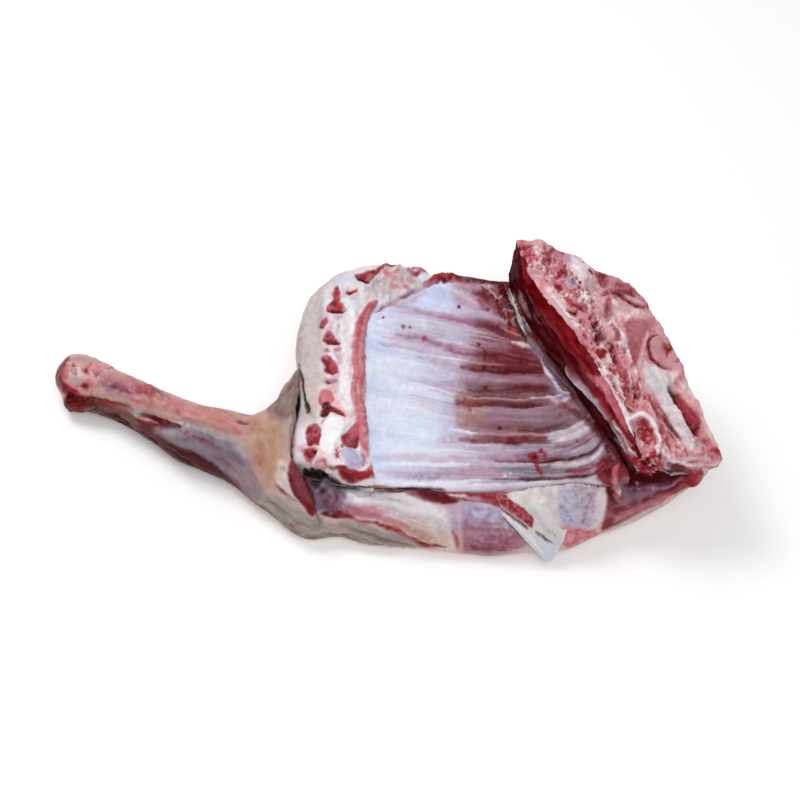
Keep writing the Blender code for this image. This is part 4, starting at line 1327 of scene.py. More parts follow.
# %% Marks of the split backbone
# Painted light among these marks: the teal and sky lines beside the white band of fat and the mauve
# line to its left are soft painted shade, the black line at the left edge of the dark slot and the hole
# line below it are painted shade in the slots, and the pitch line along the lower front edge is painted
# shadow in the hollow under the backbone.
BACKBONE_MARKS = """
dabs shell 8 5 .50 .4 * 120 + salmon 6 5 .45 .2 * 120 | 526,240 560,250 600,266 640,294 662,330
 690,380 716,440 718,458 690,462 650,460 620,410 590,350 560,310 530,270
strokes wine 3.4 1.3 .80 -.6 2 * 9 56 + red 3.4 1.3 .80 -.4 2 * 8 56 + white 3.2 1.3 .85 .6 * 7 60
 + blood 3.2 1.2 .90 -.7 * 5 40 + shell 3 1.3 .80 .4 * 5 44 + maroon 2.4 1.8 .70 -.8 * 7 30 |
 546,258 566,290 588,330 606,366 622,402 / 604,276 610,310 622,340 636,372 642,398
area salmon 0 3 .85 .3 | 519,238 526,242 533,250 540,262 532,276 526,262 520,250
line red 4 3 .70 | 522,244 528,256 534,268
line shell 5 3 .75 .5 | 530,247 537,252 542,260
line maroon 3.4 2 .85 -.6 | 527,247 534,246
area red 0 2.4 .85 -.6 | 540,255 547,252 552,256 549,262 543,262
line plum 4 2.4 .85 -.5 | 549,252 556,249 563,254
area lilac 0 4 .70 .4 | 565,257 572,256 577,262 572,267 566,265
line wine 3 2.4 .60 -.3 | 562,262 566,270 574,272
area white 0 4 .80 .5 | 569,266 580,267 586,276 580,286 570,280
area shell 0 3 .92 .8 | 531,283 532,270 540,265 547,267 552,281 560,294 569,307 577,318 583,329
 579,332 571,329 560,318 550,307 540,296
line white 5 3 .85 .5 | 543,284 551,295 560,307 570,320 578,329
dabs salmon 3 2.4 .60 * 24 | 532,282 534,268 546,266 550,282 560,296 548,298
dabs mauve 2.6 2 .60 * 18 | 532,282 534,268 546,266 550,282
line mauve 2 1.6 .75 -.3 | 551,298 559,308 567,319 573,326
line clot 3 2 .75 -.5 | 556,286 560,290
line clot 3 2 .75 -.5 | 575,305 581,308
line wine 4 2 .70 -.5 2 | 568,311 575,314
area milk 0 4 .70 .5 3 | 580,276 596,278 604,300 602,318 588,312 580,294
line mauve 6 3 .70 0 2 | 588,282 594,290
line grey 3 2 .70 -.3 2 | 584,284 592,292 598,288
area wine 0 3 .90 -.7 | 597,273 607,272 610,280 605,287 598,284
line clot 4 2 .70 -.4 | 600,276 606,277
area pink 0 5 .85 .2 | 608,272 622,274 638,286 646,300 640,304 620,296 608,294
area muscle 0 4 .80 .4 | 614,284 628,284 638,292 632,296 618,290
line shell 4 3 .70 .4 | 612,274 622,278 634,286
line clot 4 2.4 .92 -1.0 | 602,294 610,292 618,294 628,300 636,305 643,308
line maroon 3 2 .85 -.6 | 618,291 626,293 635,296
line shell 3 2 .85 .5 | 624,296 634,300 642,304
area blush 0 6 .85 .2 | 606,298 622,303 640,311 646,320 632,321 616,320 606,314
line muscle 5 3 .80 -.4 | 609,300 606,310 605,319
line ash 3 3 .60 .4 | 617,306 615,318
dabs white 3 3 .45 .3 * 48 | 608,300 622,303 640,311 646,320 632,321 616,320
area muscle 0 3 .92 -.2 | 626,323 645,321 648,332 643,346 638,360 634,372 630,360 629,345 625,332
area blood 0 6 .50 | 631,344 641,344 637,360 634,370
line purple 4 3 .50 | 643,322 648,332
line wine 5 3 .85 -.6 | 612,326 616,334 619,342
line blush 5 3 .70 | 621,321 618,331
line white 3 2 .88 .6 | 617,330 622,337 626,346 628,353
line shell 4 3 .88 .6 | 648,336 643,348 640,358 637,371
area blush 0 3 .90 .8 | 650,338 657,333 666,334 674,341 680,352 683,366 676,371 664,370 655,366
 649,356 646,346
area pink 0 4 .80 | 652,342 660,338 668,342 668,356 664,366 656,362 651,352
line clot 3.6 2 .90 -1.2 | 657,335 650,339 648,347 651,357 658,364 665,369
area red 0 3 .80 -.3 | 661,344 666,346 671,342 674,347 671,352 667,356 663,352
line clot 2.6 2 .80 -.2 | 664,349 668,351 672,349
line maroon 2 2 .60 -.2 | 666,352 666,358
dots mauve 5 3 .70 -.3 | 653,325
line shell 3 1.6 .75 .3 | 648,330 646,337 643,345
dots maroon 3 2 .70 -.3 | 676,362
area blush 0 4 .80 .3 | 674,342 684,352 690,372 694,384 684,380 678,366
area fat 0 4 .94 1.0 | 645,360 652,366 664,371 678,374 676,380 668,386 674,398 679,411 686,425
 694,440 696,448 688,450 681,441 671,424 661,407 652,392 644,378
line teal 3 4 .45 | 648,366 654,380 662,392
line sky 4 4 .40 | 650,372 660,390 670,408
line white 5 4 .70 .5 | 664,380 672,396 680,414 688,432
dots mauve 3 2.4 .60 | 686,433
line brown 2.6 2 .85 -1.0 | 652,397 660,409 665,416
line hole 4 2.4 .90 -1.6 | 667,420 673,430 679,441
area ember 0 2 .95 -2.2 | 668,387 674,391 683,396 691,409 702,416 701,426 697,435 691,430 684,420
 677,408 671,396
area red 0 3 .85 .6 | 677,397 684,399 692,411 700,418 697,426 690,420 683,411
line black 3.4 2 .85 -.8 | 668,387 673,393 678,404
line clot 4 3 .85 -.6 | 690,425 695,431
line salmon 3 3 .60 .3 | 684,402 691,413 698,420
area shell 0 4 .90 .7 | 668,384 680,384 692,398 706,414 714,430 720,446 714,444 706,428 698,414
 688,402 678,392
line white 3 3 .70 .4 | 684,386 696,402 708,420 716,438
line salmon 3 2.4 .70 -.4 | 676,380 681,387
dabs rose 3 3 .50 * 48 | 676,376 692,386 712,422 718,444 704,424 688,396
area fat 0 3.4 .92 .8 | 598,358 604,364 609,374 618,386 624,400 626,414 632,436 641,458 636,458
 627,442 620,424 611,407 604,389 598,372
dots lavender 3 2.4 .75 | 612,383 615,390 619,398
line rose 3 2.4 .85 .2 | 590,352 598,368 606,388 613,406 622,424 633,444
area red 0 2.6 .90 -.8 2 | 607,342 613,346 617,356 620,368 617,376 610,372 608,360 604,352
line clot 3 2 .80 -.5 | 611,348 615,356 617,366
line cream 3.4 2.4 .90 .6 | 604,354 610,359 616,364
area wine 0 2.4 .90 -.6 | 596,351 603,350 605,355 599,358
area rose 0 4 .80 .2 | 583,314 592,318 591,332 584,331
area plum 0 3 .92 -1.2 | 592,331 600,330 604,336 600,343 593,341
dots clot 5 2.4 .90 -1.0 | 595,325 597,337
area shell 0 4 .75 .4 | 598,343 608,340 606,350 598,350
area scarlet 0 3 .88 -.6 2 | 624,386 632,380 638,386 637,398 634,410 627,412 624,400
dots sand 4 2.4 .90 .6 | 631,387 629,395
area rose 0 4 .85 .3 2.4 | 624,372 640,370 642,382 630,384
line shell 3 2.4 .80 .3 | 636,376 644,384 650,394
line clot 3 2 .75 -.5 | 634,394 638,400
line clot 3 2 .75 -.5 | 626,407 632,412
area blush 0 5 .70 .2 | 640,384 650,388 656,400 648,404 640,396
area rose 0 6 .80 0 3 | 644,398 654,402 668,424 680,444 690,456 676,458 664,446 656,428 648,412
line muscle 5 3 .75 -.3 2.4 | 652,404 662,420 672,438 682,452
line shell 4 3 .85 .4 2 | 648,404 658,418 666,432 674,446
area pink 0 4 .85 | 630,424 636,424 640,440 642,452 636,446 632,434
area red 0 3 .90 -.6 2.6 | 636,421 646,419 651,427 655,438 650,446 643,444 638,434
line scarlet 4 2.4 .88 -.2 | 644,424 646,432 644,440
line ice 6 3 .85 .5 | 626,414 629,428 633,442 640,457
line white 4.4 2.4 .94 .9 | 627,422 633,418 640,414 647,416 655,427 660,442
line white 4.4 2.4 .92 .8 | 660,442 657,450 648,455 640,459
line white 2 2 .70 .3 | 641,440 642,447
area scarlet 0 3 .90 -.4 2.4 | 645,456 652,452 660,456 659,466 652,471 646,466
dots hole 3 2 .80 -.3 | 649,463 656,467
area umber 0 4 .85 -.3 2 | 626,456 636,462 642,472 638,480 628,474
dots cream 3.4 2 .88 .6 | 643,465 654,474 638,468
area mauve 0 4 .80 | 660,456 668,458 672,466 664,468
area maroon 0 3 .92 -1.0 | 668,464 680,466 692,470 688,474 672,472
line pitch 5 3 .88 -1.6 | 640,477 654,476 668,474 684,474
line fat 4 2.4 .92 .8 | 661,450 668,456 677,461 688,464 699,467
area rust 0 4 .60 0 2 | 696,438 706,436 710,446 702,450
line yellow 4 2.4 .80 .5 | 705,430 711,438 717,447
area red 0 3 .88 .2 | 699,449 710,450 722,452 720,457 706,457
area rose 0 3 .85 .3 | 700,458 722,458 724,463 704,465
line cream 3 2.4 .85 .6 | 706,465 716,464 724,460
area blood 0 3 .92 1.4 | 686,469 693,466 701,468 701,478 691,487 685,482
line red 4 3 .70 .4 | 692,472 694,480
line mauve 6 4 .60 | 642,380 648,390 656,400
strokes white 3 2 .70 .3 * 10 20 + mauve 2 1.8 .55 -.2 * 5 12 | 676,382 696,402 714,436 / 686,378
 706,402 720,436
dots mauve 4 2 .70 -.3 | 677,383 687,389
strokes white 2.6 2.4 .50 .3 * 14 14 + ash 2.6 2.6 .40 -.2 * 14 14 | 650,364 668,400 692,446 /
 672,376 676,400 696,444
strokes rose 3 2.4 .60 .2 * 8 16 | 696,436 708,446 722,456 / 694,446 704,458 722,462
strokes cream 2 1.8 .60 .3 * 7 12 | 694,438 706,446 716,452 / 690,450 704,460 722,464
dabs clot 3 2 .80 -.8 * 21 | 640,456 660,460 662,472 648,474
strokes shell 3 2 .70 .4 * 12 24 + wine 2.4 2 .65 -.4 * 10 22 + red 2.6 2 .55 -.2 * 8 16 | 652,384
 668,418 690,456 / 645,394 656,420 668,450
line pink 10 4 .60 | 634,428 637,440 640,450
line haze 7 3 .80 | 629,424 632,436 638,450
area blood 0 3 .85 -.4 | 638,421 646,420 651,428 654,438 648,444 641,438
line scarlet 4 2.4 .80 | 644,424 647,434 646,440
line white 4 2 .95 .9 | 627,422 633,418 640,414 647,416 655,427 660,442
line white 4 2 .92 .8 | 660,442 657,450 648,455 640,459
line white 4 2 .94 .9 | 626,421 631,436 637,456
dabs red 4 2.4 .80 .3 * 24 + blood 3 2.4 .80 -.3 * 18 | 640,454 660,456 662,470 650,474 642,466
dabs cream 2.4 1.8 .75 .6 * 15 | 642,456 660,458 660,468 648,472
strokes blood 3 2.4 .70 -.5 2 * 6 20 | 548,256 560,290 574,316 / 572,256 590,284 600,310
strokes blood 3 2.4 .70 -.5 2 * 7 16 | 594,340 608,376 622,406 / 612,336 622,370 636,402
line maroon 4 2 .85 -.6 | 610,346 614,354 618,362
line cream 3 2 .90 .6 | 604,352 609,358 614,364
area rose 0 3 .70 .2 | 615,346 624,350 628,364 622,372 616,362
area white 0 4 .60 .4 | 700,410 708,414 714,428 712,438 706,426
strokes white 2.6 2 .70 .3 * 7 16 | 690,386 704,406 716,440 / 698,390 710,414 720,444
line red 5 3 .80 | 712,450 718,453 722,457
dots clot 4 2.4 .60 | 716,452
area salmon 0 2.4 .85 | 553,268 562,266 568,272 566,284 562,292 555,292 552,280
line blood 5 1.2 .95 -.8 | 556,276 561,273 566,271
line blood 4.4 1.2 .95 -.8 | 555,285 559,288 562,290
line cream 3 1.2 .85 .6 | 557,281 561,280
area lilac 0 2.4 .80 .4 | 565,277 571,276 576,282 573,288 566,286
area white 0 2.4 .80 .5 | 571,256 580,258 588,264 588,272 580,274 573,266
dots storm 3 1.4 .85 -.3 | 583,263
line maroon 2.6 1.2 .90 -.4 | 587,271 590,272 594,275
area ash 0 2.4 .75 .2 | 586,280 592,280 596,290 590,292
area white 0 2.4 .85 .5 | 578,295 584,293 589,300 584,304 578,301
line cream 4 1.2 .90 .6 | 558,295 562,299 566,304
line scarlet 5 1.2 .95 -.4 | 568,298 571,303 574,307
line wine 4 1.2 .95 -.6 | 574,304 579,308 584,311
line maroon 3 1.2 .90 -.7 | 567,311 573,313 577,312
dots shell 3.4 1.2 .90 .6 | 562,292 566,294 571,296 565,308 580,303
area pink 0 4 .60 0 2 | 585,304 598,304 603,318 596,322 587,316
dots blood 2.4 1.2 .80 -.3 | 580,322 583,328 579,330
line wine 6 2 .60 -.3 | 608,298 609,310 608,322
dots clot 3 1.2 .90 -.6 | 597,322 594,327 597,331
line wine 3.4 1.2 .95 -.6 | 609,342 612,348 615,353
line blood 3.4 1.2 .95 -.6 | 613,354 616,358 618,362
area blood 0 1.6 .95 -.6 | 596,351 603,350 605,356 598,357
line cream 3.4 1.2 .95 .6 | 605,356 610,360 615,364
line cream 3 1.2 .90 .5 | 614,342 618,349 622,356
line red 4 1.6 .90 -.4 | 609,368 613,370 617,371
line rose 2.2 1.2 .85 | 535,276 540,272 545,276 541,281 536,279
line cream 5 2 .80 .4 | 530,272 532,264 540,264
line salmon 3 2 .60 | 524,262 530,258 536,260
area pink 0 5 .40 | 630,324 646,323 643,342 636,360 631,350
dabs wine 2.0 1.5 .65 -.5 * 78 + white 1.9 1.5 .65 .5 * 90 | 538,254 566,262 588,292 606,340
 614,396 600,396 584,350 566,312 546,282
dabs clot 1.8 1.4 .60 -.5 * 48 | 558,264 578,268 598,318 606,366 594,350 574,310
dabs shell 2.2 1.6 .55 .4 * 60 + salmon 2.2 1.6 .50 -.2 * 54 | 580,270 606,280 620,310 628,350
 616,370 600,330
area milk 0 5 .55 .2 | 640,368 656,370 668,386 668,404 654,398 644,384
dabs shell 1.8 1.4 .65 .4 * 18 + wine 1.8 1.4 .60 -.3 * 15 | 628,420 646,420 650,440 638,446
dabs blood 2.2 1.6 .55 -.3 * 36 + white 2.0 1.6 .55 .3 * 36 | 652,430 672,440 690,456 660,458
 648,446
line red 3 2.4 .50 -.2 | 700,436 708,446 716,458
dabs wine 2.2 1.6 .60 -.5 * 54 + shell 2.0 1.5 .60 .5 * 60 | 600,330 616,330 636,372 646,404
 634,408 620,384 606,352
dabs blood 2.4 1.6 .60 -.4 * 36 + white 2.0 1.5 .55 .4 * 36 | 518,246 536,246 552,262 548,276
 530,266
dabs wine 2.2 1.6 .45 -.3 * 30 | 590,264 618,276 632,294 612,300 600,284
dabs wine 2.4 1.8 .50 -.3 * 24 + shell 2.2 1.8 .50 .3 * 24 | 690,424 704,436 716,456 700,458
 692,444
"""

# %% The split backbone as a rough sawn face
SPLIT_ROWS, SPLIT_COLS = 310, 104
VERTEBRA, VERTEBRA_HIGH = 30.0, 3.0       # mm along the backbone, and how far each stands up
SPLIT_TUCK = (-0.7, 0, -0.3)              # of the first line, over the muscle
TORN = ((5.0, "shell", 0.2, 61), (4.0, "wine", 0.25, 64),
        (2.4, "white", 0.4, 67), (2.2, "blood", 0.4, 70))   # size, tissue, level and seed


def backbone_base(points, normals):
    """Torn pink and white on the sawn face; fat over lean down the outer side."""
    face = blend(COLOUR["blush"], COLOUR["rose"], patches(points, 5, 23, 0.5, 1.1))
    for size, name, level, seed in TORN:
        share = 0.5 * ramp(rough_lumps(points, size, seed), level, level + 0.4)
        face = blend(face, COLOUR[name], share)
    return blend(face, cut_side(points, 24), ramp(normals[:, 2], 0.45, 0.05))


def backbone_relief(points):
    """Torn lumps, finest where the saw went."""
    return swells(points, ((1.0, 8, 25), (0.7, 3.6, 26), (0.3, 1.8, 27)))


s = np.linspace(0, 1, SPLIT_COLS)
split_top, split_under = key_lines(np.linspace(0, 1, SPLIT_ROWS))
split = between(split_top[3], split_top[4], s)
wave = 0.5 * (1 + np.cos(2 * np.pi * run_of(split_top[3]) / VERTEBRA))[:, None]
split[:, :, 2] += VERTEBRA_HIGH * wave * np.sin(np.pi * s)[None, :]
split[:, 0] += SPLIT_TUCK
split_shape = slab(split, between(split_under[3], split_under[4], s), steps=26, bulge=1.4,
                   sink=4, rounding=1.2)
# Sawn spongy bone: red marrow in white mesh, wet with little gloss, rough to the touch.
sawn_bone = tissue("sawn_backbone", roughness=(0.32, 0.55), mottle_mm=1.5, mottle=0.08,
                   fibre_mm=(1.6, 1.6), fibre=0.07, bump_mm=0.30, coat=0.10, gleam=0.13)
finish_piece("split_backbone", split_shape, backbone_base, BACKBONE_MARKS, backbone_relief,
             along_backbone, sawn_bone, ["backbone"], wobble=0.7)

# %% [markdown]
# ## The shoulder and shank
# One long body of meat, from the cut end of the shank to beyond the backbone. Its skin is
# a row of rounded rings. Where the chest lies in it, the upper side is held down to the bed
# of the chest, which a height map gives: the lowest height at each half millimetre.

# %% Stations of the shoulder and shank
# Front and rear edge, then the heights of crown and keel, in mm.
STATIONS = [
    ((-249, 33, 18), (-245, 46, 22), 28, 9), ((-241, 19, 15), (-236, 52, 22), 38, 1),
    ((-232, 15, 14), (-219, 49, 21), 38, 0), ((-212, 9, 14), (-199, 36, 20), 37, 0),
    ((-192, -3, 15), (-178, 23, 21), 38, 0), ((-174, -17, 16), (-159, 12, 22), 41, 0),
    ((-155, -33, 16), (-138, 1, 24), 45, 0), ((-136, -43, 15), (-115, -8, 26), 48, 0),
    ((-117, -53, 14), (-95, -15, 30), 52, 0), ((-99, -69, 12), (-83, -4, 36), 54, 0),
    ((-84, -82, 10), (-76, 8, 40), 55, 0), ((-70, -95, 8), (-68, 24, 42), 56, 0),
    ((-56, -100, 7), (-65, 42, 38), 58, 0), ((-38, -98, 8), (-60, 64, 32), 59, 0),
    ((-18, -103, 6), (-48, 86, 30), 60, 0), ((8, -105, 5), (-26, 106, 28), 62, 0),
    ((38, -108, 5), (6, 111, 28), 62, 0), ((70, -112, 5), (44, 101, 28), 62, 0),
    ((98, -110, 6), (84, 82, 30), 64, 0), ((122, -109, 8), (118, 71, 34), 66, 0),
    ((146, -98, 10), (147, 57, 40), 66, 0), ((167, -91, 13), (174, 32, 46), 66, 0),
    ((185, -84, 20), (193, -6, 50), 66, 8), ((201, -82, 36), (207, -42, 54), 68, 26),
    ((213, -81, 53), (220, -72, 60), 66, 46)]
ELBOW, BODY = (7.5, 9.5), (12.0, 14.5)    # stations over which the points round a ring move
SQUARER, SQUARE_POWER = (9, 13), 0.45     # stations over which the rear side gets squarer
FLOOR_FLAT, FLOOR_POWER = 1.18, 0.9       # how soon the under side reaches its keel
TURN_STEPS = 1441
# Density of points round a ring: the least, then extra up to one angle and from another
# before the full turn, in radians. First for the shank, then the elbow, then the body.
DENSITY = ((1.0, ()), (0.45, ((1.0, np.pi, 0.2),)), (0.40, ((2.6, 0.85, 0.25), (0.4, np.pi, 0))))


def ring_angles(where, count):
    """Angles round the rings: even on the shank, closer on the upper side at the elbow and
    on the front face of the body. Each spread is the inverse of a running total of density."""
    fine = np.linspace(0, 2 * np.pi, TURN_STEPS)
    spread = []
    for least, extras in DENSITY:
        density = np.full(TURN_STEPS, least)
        for extra, until, before in extras:
            density += extra * ((fine < until) | (fine > 2 * np.pi - before))
        total = np.concatenate([[0], np.cumsum(0.5 * (density[1:] + density[:-1]))])
        spread.append(np.interp(np.linspace(0, 1, count, endpoint=False) * total[-1], total, fine))
    even, upper, front = spread
    return mix(even, mix(upper, front, ramp(where, *BODY)[:, None]), ramp(where, *ELBOW)[:, None])


def section_rings(where, count):
    """Superellipse rings from front foot over crown to rear edge and back below."""
    table = np.array([(*front, *rear, *heights) for front, rear, *heights in STATIONS], float)
    row = smooth_line(table, where / (len(STATIONS) - 1))
    front, rear, crown, keel = row[:, None, 0:3], row[:, None, 3:6], row[:, 6:7], row[:, 7:8]
    angle = ring_angles(where, count)
    across, up = -np.cos(angle), np.sin(angle)
    square = np.clip((where[:, None] - SQUARER[0]) / (SQUARER[1] - SQUARER[0]), 0, 1)
    power = 1 - SQUARE_POWER * square * (across > 0)
    out = np.sign(across) * np.abs(across) ** power
    ring = 0.5 * (front + rear) + 0.5 * (rear - front) * out[:, :, None]
    height = ring[:, :, 2]
    above = height + (crown - height) * np.abs(up) ** power
    below = keel + (height - keel) * np.clip(1 - FLOOR_FLAT * np.abs(up) ** FLOOR_POWER, 0, 1)
    ring[:, :, 2] = np.maximum(np.where(up >= 0, above, below), 0)
    return ring


print("first ring spans", np.ptp(section_rings(np.array([0.0]), 48)[0], axis=0).round(1), "mm")

# %% The bed of the chest as a height map
BED_BELOW, BED_AHEAD = 0.9, 0.6           # mm from the chest to its bed, below and in front
RIM_OUT = 1.2
RIM_UP = (2.4, 60)                        # mm over the ribs' wall, and beside the backbone
FRONT_AT_BREAST = (45.0, -80.0, -20.0)    # how far the front face of the bed leads out
FRONT_BESIDE = (0.0, -45.0, 3.0)
BEYOND, BEHIND = (70, 0, 0), (0, 80, 0)   # how far the bed goes on at the right and the rear
BED_CELL = 0.5
BED_LOW = np.array((-120.0, -160.0))
BED_SIZE = (900, 720)
EMPTY = 1e3                               # height of a cell that nothing covers
BED_ROWS, WALL_COLS, SIDE_COLS, BEYOND_COLS = 700, 620, 200, 220
EDGE_ROWS, RIM_ROWS, AHEAD_ROWS, BEHIND_ROWS = 8, 30, 200, 240


def shares(count):
    """Shares from 0 to 1."""
    return np.linspace(0, 1, count)


def bed_cells(points):
    """Column and row of the height map under each point."""
    cell = ((points[..., :2] - BED_LOW) / BED_CELL).astype(int)
    cell = np.clip(cell, 0, np.array(BED_SIZE) - 1)
    return cell[..., 0], cell[..., 1]


def bed_height():
    """Lowest height of the chest's space over each cell of the drawing."""
    rows = shares(BED_ROWS)
    _, under = key_lines(rows)
    wall = between(under[1], under[2], shares(WALL_COLS))
    wall[:, :, 2] -= trough(rows, shares(WALL_COLS))
    side = shares(SIDE_COLS)
    floor = np.concatenate([
        between(under[0], under[1], side), wall, between(under[2], under[3], side),
        between(under[3], under[4], side), between(under[4], under[4] + BEYOND, shares(BEYOND_COLS)),
    ], axis=1) - (0, 0, BED_BELOW)
    edge = floor[0] - (0, BED_AHEAD, 0)
    share = np.zeros((len(edge), 1))
    share[:SIDE_COLS, 0] = np.linspace(1, 0, SIDE_COLS)
    rim = edge - (0, RIM_OUT, 0)
    rim[SIDE_COLS:SIDE_COLS + WALL_COLS, 2] += WALL + RIM_UP[0]
    rim[SIDE_COLS + WALL_COLS:, 2] += RIM_UP[1]
    rim = mix(rim, edge, share)
    ahead = rim + mix(np.array(FRONT_BESIDE), np.array(FRONT_AT_BREAST), share)
    front = [between(a, b, shares(count)) for a, b, count in
             ((floor[0], edge, EDGE_ROWS), (edge, rim, RIM_ROWS), (rim, ahead, AHEAD_ROWS))]
    rear = floor[-1:] + np.array(BEHIND) * shares(BEHIND_ROWS)[:, None, None]
    cloud = np.concatenate([part.reshape(-1, 3) for part in (*front, floor, rear)])
    heights = np.full(BED_SIZE, EMPTY)
    np.minimum.at(heights, bed_cells(cloud), cloud[:, 2])
    return heights


bed = bed_height()


def held_down(points):
    """Points pressed to the bed where they stand above it."""
    points[..., 2] = np.minimum(points[..., 2], bed[bed_cells(points)])
    return points


print("bed cells found", int((bed < EMPTY).sum()))

